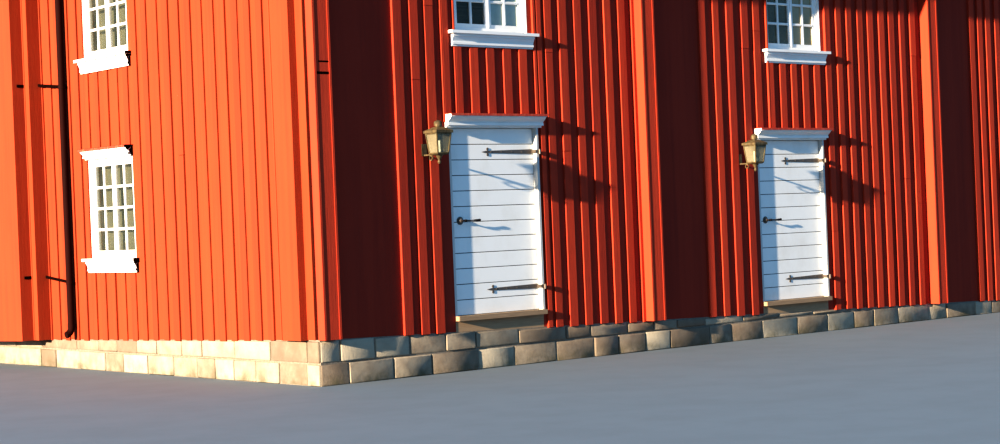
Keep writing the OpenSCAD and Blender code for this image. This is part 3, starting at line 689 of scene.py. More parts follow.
@dataclass
class Box:
    """An upright box between two corners."""

    low: Vector
    high: Vector

    @property
    def size(self) -> Vector:
        """Extent along each axis."""
        return self.high - self.low

    @property
    def centre(self) -> Vector:
        """Middle of the box."""
        return (self.low + self.high) / 2

    @property
    def flat(self) -> int:
        """Number of the axis across its thin side: 0 for X, 1 for Y."""
        return 1 if self.size.y < self.size.x else 0

    @property
    def side(self) -> float:
        """-1 where it stands on the lower side of the building along that axis, else 1."""
        return math.copysign(1.0, self.centre[self.flat])

    def face(self, axis: int, side: float) -> float:
        """Level of its lower face along an axis where side is negative, else of its upper face."""
        return self.low[axis] if side < 0 else self.high[axis]

    def limited(self, limits: dict[int, tuple[float, float]]) -> "Box":
        """A copy with other limits on some axes.

        Args:
            limits: Two levels, in either order, by the number of their axis.

        Returns:
            The new box.
        """
        low, high = self.low.copy(), self.high.copy()
        for axis, levels in limits.items():
            low[axis], high[axis] = sorted(levels)
        return Box(low, high)


def box_around(points: Iterable[Vector]) -> Box:
    """Smallest box around some points."""
    axes = list(zip(*points))
    return Box(Vector(map(min, axes)), Vector(map(max, axes)))


def node_box(node: str) -> Box:
    """Box of a whole node of the frame."""
    return Box(*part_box(node))


def roof_box() -> Box:
    """Box around the four slopes of the roof."""
    slopes = [node_box(node) for node in ("front_roof", "back_roof")]
    return box_around(corner for slope in slopes for corner in (slope.low, slope.high))


def welded(node: str) -> bmesh.types.BMesh:
    """A copy of a node's mesh with its shared corners merged.

    Args:
        node: Name of the node.

    Returns:
        The copy, to be freed by the caller.
    """
    bm = bmesh.new()
    bm.from_mesh(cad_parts[node].data)
    bmesh.ops.remove_doubles(bm, verts=bm.verts, dist=WELD)
    return bm


def solid_boxes(node: str) -> list[Box]:
    """Boxes of a node's separate solids.

    Args:
        node: Name of the node.

    Returns:
        One box for each solid, sorted by X, then Y, then Z.
    """
    bm = welded(node)
    boxes = []
    unseen = set(bm.verts)
    while unseen:
        island, waiting = set(), [unseen.pop()]
        while waiting:
            vert = waiting.pop()
            island.add(vert)
            near = {edge.other_vert(vert) for edge in vert.link_edges} & unseen
            unseen -= near
            waiting.extend(near)
        boxes.append(box_around(vert.co for vert in island))
    bm.free()
    return sorted(boxes, key=lambda box: tuple(round(level, 3) for level in box.low))


class Shape:
    """A mesh in the making, with a tint for each of its parts."""

    def __init__(self) -> None:
        """Starts an empty mesh with its tint layer."""
        self.bm = bmesh.new()
        self.layer = self.bm.verts.layers.float.new(TINT)

    def tinted(self, verts: Iterable[bmesh.types.BMVert], tint: float) -> None:
        """Gives vertices their tint."""
        for vert in verts:
            vert[self.layer] = tint

    def box(self, box: Box, tint: float = 0.0) -> list[bmesh.types.BMVert]:
        """Adds a box.

        Args:
            box: Its place and size.
            tint: Its tint.

        Returns:
            Its eight vertices.
        """
        place = Matrix.Translation(box.centre) @ Matrix.Diagonal((*box.size, 1.0))
        verts = bmesh.ops.create_cube(self.bm, size=1.0, matrix=place)["verts"]
        self.tinted(verts, tint)
        return verts

    def cylinder(
        self, foot: Vector, axis: Vector, radius: float, top_radius: float, sides: int
    ) -> list[bmesh.types.BMVert]:
        """Adds a cylinder or cone frustum.

        Args:
            foot: Middle of its foot.
            axis: From the foot to the top.
            radius: Radius at the foot.
            top_radius: Radius at the top.
            sides: Number of sides.

        Returns:
            Its vertices.
        """
        turn = axis.to_track_quat("Z", "Y").to_matrix().to_4x4()
        return bmesh.ops.create_cone(
            self.bm, cap_ends=True, segments=sides, radius1=radius, radius2=top_radius,
            depth=axis.length, matrix=Matrix.Translation(foot + axis / 2) @ turn,
        )["verts"]

    def bevel(self, edges: Iterable[bmesh.types.BMEdge], width: float, segments: int = 2) -> None:
        """Rounds edges.

        Args:
            edges: The edges.
            width: Distance from each edge at which the rounding starts.
            segments: Faces across the rounding.
        """
        bmesh.ops.bevel(
            self.bm, geom=list(edges), offset=width, segments=segments, profile=0.5, affect="EDGES",
            clamp_overlap=True, material=-1,
        )

    def edges_beyond(self, along: Vector, out: Vector, level: float) -> list[bmesh.types.BMEdge]:
        """Edges that run in one direction and lie beyond a level in another.

        Args:
            along: The direction that they run in.
            out: The direction of the level.
            level: The level.

        Returns:
            The edges found.
        """
        found = []
        for edge in self.bm.edges:
            start, end = (vert.co for vert in edge.verts)
            run = end - start
            if run.length > WELD and abs(run.normalized().dot(along)) > ALIGNED and start.dot(out) > level:
                found.append(edge)
        return found

    def piece(
        self, name: str, finish: Finish, slot: str, body: str = ROOT, smooth: bool = False
    ) -> bpy.types.Object:
        """Makes the object.

        Args:
            name: The piece's name.
            finish: Its finish.
            slot: The record's material slot; not used.
            body: The body that it rides on.
            smooth: Shades it smoothly, with sharp edges kept.

        Returns:
            The new object.
        """
        mesh = bpy.data.meshes.new(name)
        self.bm.to_mesh(mesh)
        self.bm.free()
        return finished(mesh, name, finish, body, smooth)


def finished(
    mesh: bpy.types.Mesh, name: str, finish: Finish, body: str, smooth: bool
) -> bpy.types.Object:
    """Turns a mesh into a dressed piece that rides on a body.

    Args:
        mesh: The piece's mesh, in place.
        name: The piece's name.
        finish: Its finish.
        body: The body that it rides on.
        smooth: Shades it smoothly, with sharp edges kept.

    Returns:
        The new object.
    """
    mesh.materials.clear()
    mesh.materials.append(finish.material())
    if smooth:
        mesh.shade_smooth()
        mesh.set_sharp_from_angle(angle=ROUND_ANGLE)
    piece = bpy.data.objects.new(name, mesh)
    bpy.context.scene.collection.objects.link(piece)
    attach(piece, body)
    LOG.info("%s: %d faces", name, len(mesh.polygons))
    return piece


def dress(finish: Finish, *nodes: str) -> None:
    """Gives nodes of the frame a finish.

    Args:
        finish: The finish.
        nodes: Names of the nodes.
    """
    for node in nodes:
        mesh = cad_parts[node].data
        mesh.materials.clear()
        mesh.materials.append(finish.material())


def front_reflections() -> tuple[CasementReflection, ...]:
    """Painted reflections in the windows of the door front: fainter in the left casements, bluer in the first
    window.

    Returns:
        One entry for each casement.
    """
    front = [box for box in solid_boxes("window_frames") if box.flat == Axis.Y.value and box.side < 0]
    reflections = []
    for number, box in enumerate(front):
        left_share, tone = (LEFT_REFLECTION_SHARE, OLIVE_REFLECTION) if number else (FIRST_LEFT_REFLECTION_SHARE, BLUE_REFLECTION)
        reflections.append(CasementReflection(box.low.x, box.centre.x, left_share, OLIVE_REFLECTION))
        reflections.append(CasementReflection(box.centre.x, box.high.x, 1.0, tone))
    return tuple(reflections)


@dataclass
class Opening:
    """What interrupts the boards of a wall, along the wall and in height."""

    start: float
    end: float
    foot: float
    top: float


@dataclass
class Wall:
    """One face of the building with a line along it and a direction out of it."""

    side: Side
    origin: Vector
    along: Vector
    out: Vector
    length: float
    feet: tuple[float, float]
    top: float
    openings: list[Opening] = field(default_factory=list)
    near: float = 0.02
    furthest: float = 0.5
    narrowest: float = 0.018
    shortest: float = 0.02

    def foot(self, place: float) -> float:
        """Height of the boarding's foot at a place along the wall."""
        share = place / self.length
        return self.feet[0] * (1 - share) + self.feet[1] * share

    def point(self, place: float, out: float, height: float) -> Vector:
        """The point at a place along the wall, a distance out and a height."""
        return self.origin + self.along * place + self.out * out + Vector((0, 0, height))

    def slab(self, start: float, end: float, inner: float, outer: float, foot: float, top: float) -> Box:
        """A box given in the wall's terms.

        Args:
            start: Where it starts along the wall.
            end: Where it ends along the wall.
            inner: Its back, out from the wall.
            outer: Its face, out from the wall.
            foot: Its foot.
            top: Its top.

        Returns:
            The box.
        """
        return box_around((self.point(start, inner, foot), self.point(end, outer, top)))

    def opening(self, box: Box, foot: Optional[float] = None, top: Optional[float] = None) -> None:
        """Notes what stands before the wall or passes through it.

        Args:
            box: Its box.
            foot: Lower end, if not the box's own.
            top: Upper end, if not the box's own.
        """
        start, end = sorted((corner - self.origin).dot(self.along) for corner in (box.low, box.high))
        foot, top = (box.low.z if foot is None else foot), (box.high.z if top is None else top)
        self.openings.append(Opening(start, end, foot, top))

    def touches(self, box: Box) -> bool:
        """Whether a box reaches the face of this wall.

        Args:
            box: The box.

        Returns:
            True if it does.
        """
        back, face = sorted((corner - self.origin).dot(self.out) for corner in (box.low, box.high))
        middle = (box.centre - self.origin).dot(self.along)
        crosses = back - self.near < 0.0 < face + self.near
        return crosses and face < self.furthest and 0.0 < middle < self.length

    def free_spans(self, start: float, end: float) -> list[tuple[float, float, float, float]]:
        """Splits an upright strip where openings cut it.

        Args:
            start: Where the strip starts along the wall.
            end: Where it ends.

        Returns:
            Start, end, foot and top of each part that is left.
        """
        stops = {start, end}
        for hole in self.openings:
            stops |= {stop for stop in (hole.start, hole.end) if start < stop < end}
        marks = sorted(stops)
        parts = []
        for left, right in zip(marks, marks[1:]):
            middle = (left + right) / 2
            height = self.foot(middle)
            for hole in sorted(self.openings, key=lambda h: h.foot):
                if hole.start < middle < hole.end:
                    parts.append((left, right, height, hole.foot))
                    height = max(height, hole.top)
            parts.append((left, right, height, self.top))
        return [p for p in parts if p[1] - p[0] > self.narrowest and p[3] - p[2] > self.shortest]


def bare_walls() -> dict[Side, Wall]:
    """The four faces of the building, before anything cuts their boards.

    Returns:
        The walls by side.
    """
    body, top = node_box("long_plinths"), node_box("soffit").low.z
    low, high, size = body.low, body.high, body.size
    x, y = Vector((1, 0, 0)), Vector((0, 1, 0))
    near, far, rear = PLINTH_NEAR, PLINTH_FAR, PLINTH_REAR
    walls = (
        Wall(Side.FRONT, Vector((low.x, low.y, 0)), x, -y, size.x, (near, far), top),
        Wall(Side.LEFT, Vector((low.x, low.y, 0)), y, -x, size.y, (near, rear), top),
        Wall(Side.RIGHT, Vector((high.x, low.y, 0)), y, x, size.y, (far, far), top),
        Wall(Side.BACK, Vector((low.x, high.y, 0)), x, y, size.x, (rear, far), top),
    )
    return {wall.side: wall for wall in walls}


def building_walls() -> dict[Side, Wall]:
    """The four faces of the building with everything that cuts their boards.

    Returns:
        The walls by side.
    """
    walls = bare_walls()
    for node in ("front_pilasters", "corner_boxes", "end_casings", "end_pilaster", "rear_bay_boarding"):
        for box in solid_boxes(node):
            for wall in walls.values():
                if wall.touches(box) and box.size.dot(wall.along) < WIDEST_CASING:
                    wall.opening(box, BELOW_ALL, ABOVE_ALL)
    for head, cornice in zip(solid_boxes("door_heads"), solid_boxes("door_cornices")):
        casing = head.limited({0: (head.low.x - DOOR_MARGIN_LEFT, head.high.x + DOOR_MARGIN_RIGHT)})
        walls[Side.FRONT].opening(casing, foot=BELOW_ALL)
        walls[Side.FRONT].opening(cornice)
    mouldings = solid_boxes("window_crowns") + solid_boxes("window_sills")
    for window in solid_boxes("window_frames"):
        wall = next(wall for wall in walls.values() if wall.touches(window))
        near = [box for box in mouldings if (box.centre - window.centre).length < WINDOW_REACH]
        foot, top = min(box.low.z for box in near), max(box.high.z for box in near)
        wall.opening(window, foot, max(top, window.high.z))
    return walls


@dataclass(frozen=True)
class Stretch:
    """A run of cover strips at one spacing."""

    first: float
    pitch: float
    count: int

    def middles(self) -> list[float]:
        """Places of the strips' middles along the wall."""
        return [self.first + self.pitch * number for number in range(self.count)]


FRONT_STRETCHES = (
    Stretch(1.10, 0.208, 4),
    Stretch(1.885, 0.229, 6),
    Stretch(3.19, 0.2265, 7),
    Stretch(5.67, 0.250, 4),
    Stretch(6.64, 0.2265, 7),
    Stretch(8.22, 0.2215, 8),
    Stretch(11.13, 0.195, 3),
    Stretch(11.74, BOARD_PITCH, 18),
)
BACK_STRETCHES = (Stretch(0.1925, BOARD_PITCH, 70),)
END_STRETCHES = (Stretch(0.126, 0.233, 40),)


@dataclass
class Cladding:
    """Cover strips over the joints of the upright boards, with their small irregularities."""

    stretches: tuple[Stretch, ...]
    wander: float = 0.010
    strip: float = 0.112
    strip_play: float = 0.009
    thickness: float = 0.030
    thinner: float = 0.004
    thicker: float = 0.003
    drop: float = 0.012
    foot_reach: float = 0.05
    cup: float = 0.0016
    edge: float = 0.004
    face_from: float = 0.01
    joint: float = 0.004
    joint_share: float = 0.16
    joint_heights: tuple[float, float] = (1.2, 3.9)
    shortest: float = 0.3
    step: tuple[float, float] = (-0.002, 0.003)
    seed: int = 7

    def build(self, wall: Wall, name: str, finish: Finish) -> None:
        """Makes the cover strips of one wall.

        Args:
            wall: The wall.
            name: The piece's name.
            finish: The strips' finish.
        """
        rng = random.Random(self.seed + len(name))
        shape = Shape()
        middles = [middle for stretch in self.stretches for middle in stretch.middles()]
        for middle in (place for place in middles if place < wall.length):
            middle += rng.uniform(-self.wander, self.wander)
            half = (self.strip + rng.uniform(-self.strip_play, self.strip_play)) / 2
            thick = self.thickness + rng.uniform(-self.thinner, self.thicker)
            drop, tint = rng.uniform(0.0, self.drop), rng.random()
            cut = rng.uniform(*self.joint_heights) if rng.random() < self.joint_share else None
            left, right = max(middle - half, 0.0), min(middle + half, wall.length)
            for start, end, foot, top in wall.free_spans(left, right):
                if foot <= wall.foot(middle) + self.foot_reach:
                    foot -= drop
                for low, high, lift in self.lengths(foot, top, cut, rng):
                    verts = shape.box(wall.slab(start, end, -PLAY, thick + lift, low, high), tint)
                    self.warp(wall, verts, middle, rng.uniform(-self.cup, self.cup))
        face_level = wall.origin.dot(wall.out) + self.face_from
        shape.bevel(shape.edges_beyond(Vector((0, 0, 1)), wall.out, face_level), self.edge)
        shape.piece(name, finish, "red_boards")

    def warp(self, wall: Wall, verts: list[bmesh.types.BMVert], middle: float, cup: float) -> None:
        """Tilts a strip's face a little, as a board that has warped.

        Args:
            wall: The wall.
            verts: The strip's vertices.
            middle: The strip's middle along the wall.
            cup: How far its edges move out or in.
        """
        for vert in verts:
            place = vert.co - wall.origin
            if place.dot(wall.out) > self.face_from:
                aside = place.dot(wall.along) - middle
                vert.co += wall.out * cup * aside / (self.strip / 2)

    def lengths(
        self, foot: float, top: float, cut: Optional[float], rng: random.Random
    ) -> list[tuple[float, float, float]]:
        """Splits a strip where two boards meet end to end.

        Args:
            foot: The strip's foot.
            top: Its top.
            cut: Height of the joint, or None.
            rng: Source of the small differences.

        Returns:
            Foot, top and extra thickness of each length.
        """
        if cut is None or not foot + self.shortest < cut < top - self.shortest:
            return [(foot, top, 0.0)]
        half = self.joint / 2
        return [(foot, cut - half, 0.0), (cut + half, top, rng.uniform(*self.step))]


@dataclass
class Glazing:
    """Glazing bars of the casements, two lights across and four high in each."""

    bar: float = 0.030
    depth: float = 0.024
    behind: float = 0.002
    inlaid: float = 0.0008
    across: int = 2
    high: int = 4
    bar_edge: float = 0.005
    bead: float = 0.022
    bead_edge: float = 0.004
    bead_end: float = 0.05
    bead_levels: tuple[float, float] = (0.042, 0.026)

    def build(self) -> None:
        """Makes the bars and the beads over the meeting stiles of all windows."""
        bars, beads = Shape(), Shape()
        for pane in solid_boxes("window_glass"):
            self.add_bars(bars, pane)
        for window in solid_boxes("window_frames"):
            self.add_bead(beads, window)
        bars.bevel(bars.bm.edges, self.bar_edge, 1)
        bars.piece("glazing_bars", WHITE, "white_paint")
        beads.bevel(beads.bm.edges, self.bead_edge)
        beads.piece("meeting_beads", WHITE, "white_paint")

    def add_bars(self, shape: Shape, pane: Box) -> None:
        """Adds one casement's bars, the level ones let in a little behind the upright ones.

        Args:
            shape: The mesh that takes them.
            pane: The casement's sheet of glass.
        """
        flat, wide = pane.flat, 1 - pane.flat
        back, front = sorted(pane.centre[flat] + pane.side * out for out in (-self.behind, self.depth))
        levels = {wide: (back, front), 2: (back + self.inlaid, front - self.inlaid)}
        for axis, count in ((wide, self.across), (2, self.high)):
            for number in range(1, count):
                middle = pane.low[axis] + pane.size[axis] * number / count
                ends = (middle - self.bar / 2, middle + self.bar / 2)
                shape.box(pane.limited({axis: ends, flat: levels[axis]}))

    def add_bead(self, shape: Shape, window: Box) -> None:
        """Adds the bead where a window's two casements meet.

        Args:
            shape: The mesh that takes it.
            window: The window's frame.
        """
        flat, wide = window.flat, 1 - window.flat
        wall_face = node_box("long_plinths").face(flat, window.side)
        back, front = (wall_face - window.side * level for level in self.bead_levels)
        middle = window.centre[wide]
        shape.box(window.limited({
            wide: (middle - self.bead / 2, middle + self.bead / 2),
            flat: (back, front),
            2: (window.low.z + self.bead_end, window.high.z - self.bead_end),
        }))


@dataclass
class Flashing:
    """Thin sheet folded over the cornices and crowns."""

    thickness: float = 0.004
    lip: float = 0.012
    rim: float = 0.022
    edge: float = 0.0012

    def build(self) -> None:
        """Makes the sheets over the doors and the lower windows."""
        shape = Shape()
        for node in ("door_cornices", "window_crowns"):
            for box in solid_boxes(node):
                self.cover(shape, box)
        shape.bevel(shape.bm.edges, self.edge, 1)
        shape.piece("red_flashings", RED_SHEET, "dark_sheet")

    def cover(self, shape: Shape, box: Box) -> None:
        """Adds the sheet on top of one moulding, with its turned-down rim.

        Args:
            shape: The mesh that takes it.
            box: The moulding's box.
        """
        grow = Vector((self.lip, self.lip, 0))
        foot, top = box.high.z, box.high.z + self.thickness
        sheet = Box(box.low - grow, box.high + grow).limited({2: (foot, top)})
        shape.box(sheet)
        outer = sheet.face(box.flat, box.side)
        inner = outer - box.side * self.thickness
        shape.box(sheet.limited({box.flat: (outer, inner), 2: (foot - self.rim, top)}))


@dataclass
class RoofCover:
    """Curved clay tiles in courses on the four slopes, with half-round ridge and hip tiles."""

    tile_w: float = 0.205
    tile_l: float = 0.39
    tile_steps: int = 7
    side_lap: float = 1.08
    gauge: float = 0.33
    wave: float = 0.032
    lean: float = 0.35
    tilt: float = 0.022
    thickness: float = 0.014
    lift: float = 0.004
    bed: float = 0.016
    past_eaves: float = 0.045
    past_hip: float = 0.05
    cap_r: float = 0.125
    cap_taper: float = 0.86
    cap_gauge: float = 0.36
    cap_lap: float = 0.06
    cap_sink: float = 0.012
    cap_steps: int = 8
    seed: int = 23

    def build(self) -> None:
        """Covers the four slopes, the ridge and the hips."""
        outs = {"front": (0, -1, 0), "back": (0, 1, 0), "left": (-1, 0, 0), "right": (1, 0, 0)}
        for name, out in outs.items():
            self.slope(name, Vector(out))
        self.caps()

    def tile(self) -> bpy.types.Mesh:
        """One tile: a shallow S across, solid, its lower end raised by the course below.

        Returns:
            The tile's mesh, its lower left corner near the origin, running up along Y.
        """
        bm = bmesh.new()
        bmesh.ops.create_grid(bm, x_segments=self.tile_steps, y_segments=1, size=0.5)
        for vert in bm.verts:
            share = vert.co.x + 0.5
            turn = share * math.tau
            vert.co.z = self.wave * (0.5 - 0.5 * math.cos(turn) - self.lean * math.sin(turn))
            vert.co.z += self.tilt * (0.5 - vert.co.y)
            vert.co.x = share * self.tile_w * self.side_lap
            vert.co.y = (vert.co.y + 0.5) * self.tile_l
        bmesh.ops.recalc_face_normals(bm, faces=bm.faces)
        if bm.faces[:][0].normal.z < 0:
            bmesh.ops.reverse_faces(bm, faces=bm.faces)
        bmesh.ops.solidify(bm, geom=bm.faces[:], thickness=self.thickness)
        bmesh.ops.recalc_face_normals(bm, faces=bm.faces)
        mesh = bpy.data.meshes.new("tile")
        bm.to_mesh(mesh)
        bm.free()
        return mesh

    def field_of(self, across: int, courses: int) -> bpy.types.Mesh:
        """A rectangle of tiles, each with its own tint and a slight lift.

        Args:
            across: Tiles in a course.
            courses: Number of courses.

        Returns:
            The joined mesh.
        """
        tile = self.tile()
        holder = bpy.data.objects.new("tile_field", tile)
        bpy.context.scene.collection.objects.link(holder)
        for count, step in ((across, (self.tile_w, 0, 0)), (courses, (0, self.gauge, 0))):
            array = holder.modifiers.new("rows", "ARRAY")
            array.use_relative_offset = False
            array.use_constant_offset = True
            array.constant_offset_displace = step
            array.count = count
        graph = bpy.context.evaluated_depsgraph_get()
        mesh = bpy.data.meshes.new_from_object(holder.evaluated_get(graph))
        corners = len(tile.vertices)
        bpy.data.objects.remove(holder)
        rng = random.Random(self.seed)
        tint = mesh.attributes.new(TINT, "FLOAT", "POINT")
        for number in range(across * courses):
            tone, lift = rng.random(), rng.uniform(0.0, self.lift)
            for index in range(number * corners, (number + 1) * corners):
                tint.data[index].value = tone
                mesh.vertices[index].co.z += lift
        return mesh

    def slope(self, name: str, out: Vector) -> None:
        """Lays the tiles of one slope and cuts them along the hips.

        Args:
            name: Side of the building that the slope falls to.
            out: Direction that it falls in, seen from above.
        """
        whole, upright = roof_box(), Vector((0, 0, 1))
        along = upright.cross(out)
        eaves, reach = (abs(whole.size.dot(direction)) for direction in (along, out))
        depth, rise = whole.size.y / 2, whole.size.z - ROOF_SLAB
        up = (upright * rise - out * depth).normalized()
        normal = along.cross(up)
        columns = math.ceil(eaves / self.tile_w) + 1
        mesh = self.field_of(columns, math.ceil(math.hypot(depth, rise) / self.gauge))
        start = whole.centre + out * reach / 2 - along * (eaves / 2 + self.past_hip)
        start.z = whole.low.z + ROOF_SLAB
        start += normal * self.bed - up * self.past_eaves
        turn = Matrix((along, up, normal)).transposed().to_4x4()
        mesh.transform(Matrix.Translation(start) @ turn)
        bm = bmesh.new()
        bm.from_mesh(mesh)
        for sign in (-1, 1):
            corner = whole.centre + out * reach / 2 + along * sign * eaves / 2
            cut = bmesh.ops.bisect_plane(
                bm, geom=bm.verts[:] + bm.edges[:] + bm.faces[:], plane_co=corner,
                plane_no=(along * sign - out).normalized(), clear_outer=True,
            )["geom_cut"]
            bmesh.ops.holes_fill(bm, edges=[e for e in cut if isinstance(e, bmesh.types.BMEdge)])
        bm.to_mesh(mesh)
        bm.free()
        finished(mesh, f"{name}_tiles", TILES, ROOT, True)

    def caps(self) -> None:
        """Half-round tiles along the ridge and the four hips, each lapped over the one below."""
        whole = roof_box()
        ridge_half = (whole.size.x - whole.size.y) / 2
        ends = {sign: Vector((sign * ridge_half, 0, whole.high.z)) for sign in (-1, 1)}
        shape = Shape()
        rng = random.Random(self.seed)
        self.line_of_caps(shape, ends[-1], ends[1], rng)
        for sign_x, end in ends.items():
            for sign_y in (-1, 1):
                foot = Vector((sign_x * whole.size.x / 2, sign_y * whole.size.y / 2, whole.low.z + ROOF_SLAB))
                self.line_of_caps(shape, foot, end, rng)
        shape.piece("ridge_and_hip_tiles", TILES, "roof_deck", smooth=True)

    def line_of_caps(self, shape: Shape, foot: Vector, top: Vector, rng: random.Random) -> None:
        """Adds one line of half-round tiles.

        Args:
            shape: The mesh that takes them.
            foot: Lower end of the line.
            top: Upper end.
            rng: Source of the tints.
        """
        run = top - foot
        count = round(run.length / self.cap_gauge)
        step = run / count
        side = step.cross(Vector((0, 0, 1))).normalized()
        lift = side.cross(step).normalized()
        turn = Matrix((side, step.normalized(), lift)).transposed().to_4x4()
        for number in range(count):
            start = foot + step * (number - self.cap_lap) - lift * self.cap_sink
            verts = self.half_pipe(shape, step.length * (1 + 2 * self.cap_lap))
            bmesh.ops.transform(shape.bm, matrix=Matrix.Translation(start) @ turn, verts=verts)
            shape.tinted(verts, rng.random())

    def half_pipe(self, shape: Shape, length: float) -> list[bmesh.types.BMVert]:
        """Adds a tapered half pipe along Y, open side down.

        Args:
            shape: The mesh that takes it.
            length: Its length.

        Returns:
            Its vertices.
        """
        bm = shape.bm
        seen = set(bm.verts)
        wide, narrow = self.cap_r, self.cap_r * self.cap_taper
        outline = ((wide, 0), (wide - self.thickness, 0), (narrow - self.thickness, length), (narrow, length))
        face = bm.faces.new([bm.verts.new((across, along, 0)) for across, along in outline])
        bmesh.ops.spin(
            bm, geom=[face, *face.edges, *face.verts], axis=(0, 1, 0), cent=(0, 0, 0), angle=-math.pi,
            steps=self.cap_steps, use_duplicate=False,
        )
        fresh = [vert for vert in bm.verts if vert not in seen]
        faces = list({face for vert in fresh for face in vert.link_faces})
        bmesh.ops.recalc_face_normals(bm, faces=faces)
        return fresh


@dataclass
class Plinth:
    """Courses of split stones before the plinth, between ground and boarding."""

    course: float = 0.23
    length: float = 0.52
    lengths: tuple[float, float] = (0.7, 1.35)
    joint: float = 0.016
    back: float = 0.02
    proud: float = 0.012
    proud_play: tuple[float, float] = (-0.006, 0.010)
    margin: float = 0.004
    bed: float = 0.002
    shortest: float = 0.06
    lowest: float = 0.03
    edge: float = 0.014
    uneven: float = 0.0035
    seed: int = 41

    def build(self, walls: dict[Side, Wall]) -> None:
        """Makes the stones of the four walls.

        Args:
            walls: The building's walls.
        """
        rng = random.Random(self.seed)
        shape = Shape()
        for wall in walls.values():
            self.face(shape, wall, rng)
        shape.bevel(shape.bm.edges, self.edge)
        for vert in shape.bm.verts:
            vert.co += Vector(rng.uniform(-self.uneven, self.uneven) for _ in range(3))
            vert.co.z = max(vert.co.z, PLAY)
        shape.piece("plinth_stones", STONE, "plinth_stone", smooth=True)

    def face(self, shape: Shape, wall: Wall, rng: random.Random) -> None:
        """Lays the stones of one wall, the top ones cut to the boarding's foot.

        Args:
            shape: The mesh that takes them.
            wall: The wall.
            rng: Source of the differences.
        """
        for row in range(math.ceil(max(wall.feet) / self.course)):
            foot = row * self.course
            place = -self.length * rng.random() * 0.5
            while place < wall.length:
                stone = self.length * rng.uniform(*self.lengths)
                start = max(place, self.margin)
                end = min(place + stone - self.joint, wall.length - self.margin)
                limit = min(wall.foot(start), wall.foot(max(end, start))) - self.margin
                top = min(foot + self.course - self.joint, limit)
                if end - start > self.shortest and top - foot > self.lowest:
                    out = self.proud + rng.uniform(*self.proud_play)
                    shape.box(wall.slab(start, end, -self.back, out, foot + self.bed, top), rng.random())
                place += stone


@dataclass
class DoorFittings:
    """Rivets of the straps, nail heads of the planked leaves, and dark strips in the leaves' joints that
    paint the shade of the grooves.
    """

    boards: int = 12
    rivet_r: float = 0.010
    rivet_h: float = 0.004
    rivet_taper: float = 0.55
    rivet_sides: int = 12
    rivet_shares: tuple[float, ...] = (0.17, 0.36, 0.55, 0.74)
    strap_out: float = 0.0058
    shortest_strap: float = 0.5
    nail_r: float = 0.0045
    nail_h: float = 0.0025
    nail_taper: float = 0.7
    nail_sides: int = 8
    nail_in: float = 0.05
    nail_shares: tuple[float, float] = (0.3, 0.7)
    joint_h: float = 0.0125
    joint_back: float = 0.0125
    joint_in: float = 0.0115
    joint_play: float = 0.0002

    def build(self) -> None:
        """Makes the rivets, nails and joints of each door."""
        for door in DOORS:
            body, leaf = f"door_{door}", node_box(f"door_leaf_{door}")
            iron, nails, joints = Shape(), Shape(), Shape()
            for strap in solid_boxes(f"door_ironwork_{door}"):
                if strap.size.x > self.shortest_strap:
                    self.add_rivets(iron, strap, leaf)
            self.add_nails(nails, leaf)
            self.add_joints(joints, leaf)
            iron.piece(f"strap_rivets_{door}", STRAP_IRON, "black_iron", body, True)
            nails.piece(f"leaf_nails_{door}", WHITE, "white_paint", body, True)
            # Dark strips in the grooves: painted shade
            joints.piece(f"leaf_joint_shade_{door}", JOINT_SHADE, "white_paint", body)

    def add_rivets(self, shape: Shape, strap: Box, leaf: Box) -> None:
        """Adds the rivets along a strap.

        Args:
            shape: The mesh that takes them.
            strap: The strap's box.
            leaf: The leaf's box.
        """
        axis, top_radius = Vector((0, -self.rivet_h, 0)), self.rivet_r * self.rivet_taper
        for share in self.rivet_shares:
            foot = Vector((strap.low.x + strap.size.x * share, leaf.low.y - self.strap_out, strap.centre.z))
            shape.cylinder(foot, axis, self.rivet_r, top_radius, self.rivet_sides)

    def add_nails(self, shape: Shape, leaf: Box) -> None:
        """Adds two nail heads at each end of each board.

        Args:
            shape: The mesh that takes them.
            leaf: The leaf's box.
        """
        board = leaf.size.z / self.boards
        axis, top_radius = Vector((0, -self.nail_h, 0)), self.nail_r * self.nail_taper
        for number in range(self.boards):
            for across in (leaf.low.x + self.nail_in, leaf.high.x - self.nail_in):
                for share in self.nail_shares:
                    foot = Vector((across, leaf.low.y + PLAY, leaf.low.z + board * (number + share)))
                    shape.cylinder(foot, axis, self.nail_r, top_radius, self.nail_sides)

    def add_joints(self, shape: Shape, leaf: Box) -> None:
        """Adds the dark strips that lie in the grooves between the boards, as painted shade.

        Args:
            shape: The mesh that takes them.
            leaf: The leaf's box.
        """
        back = leaf.low.y + self.joint_back
        for number in range(1, self.boards):
            top = leaf.low.z + leaf.size.z / self.boards * number - self.joint_play
            low = Vector((leaf.low.x + PLAY, back - self.joint_in, top - self.joint_h))
            shape.box(Box(low, Vector((leaf.high.x - PLAY, back, top))))


@dataclass
class CornerTrim:
    """Near-black strips at the bottom of the open slots at the front corners: painted shade in the slots."""

    slot: float = 0.060
    recess: float = 0.040
    foot_play: float = 0.01
    top_play: float = 0.002

    def build(self, walls: dict[Side, Wall]) -> None:
        """Makes the strips in the two slots.

        Args:
            walls: The building's walls.
        """
        shape = Shape()
        front = walls[Side.FRONT]
        inner, outer = self.recess, self.slot - PLAY
        for near, far in ((inner, outer), (front.length - outer, front.length - inner)):
            foot, top = front.foot(near) + self.foot_play, front.top - self.top_play
            shape.box(front.slab(near, far, PLAY - self.slot, -PLAY, foot, top))
        # The strips paint the shade of the slots
        shape.piece("corner_slot_painted_shade", TAR_AND_SHADE, "red_boards")


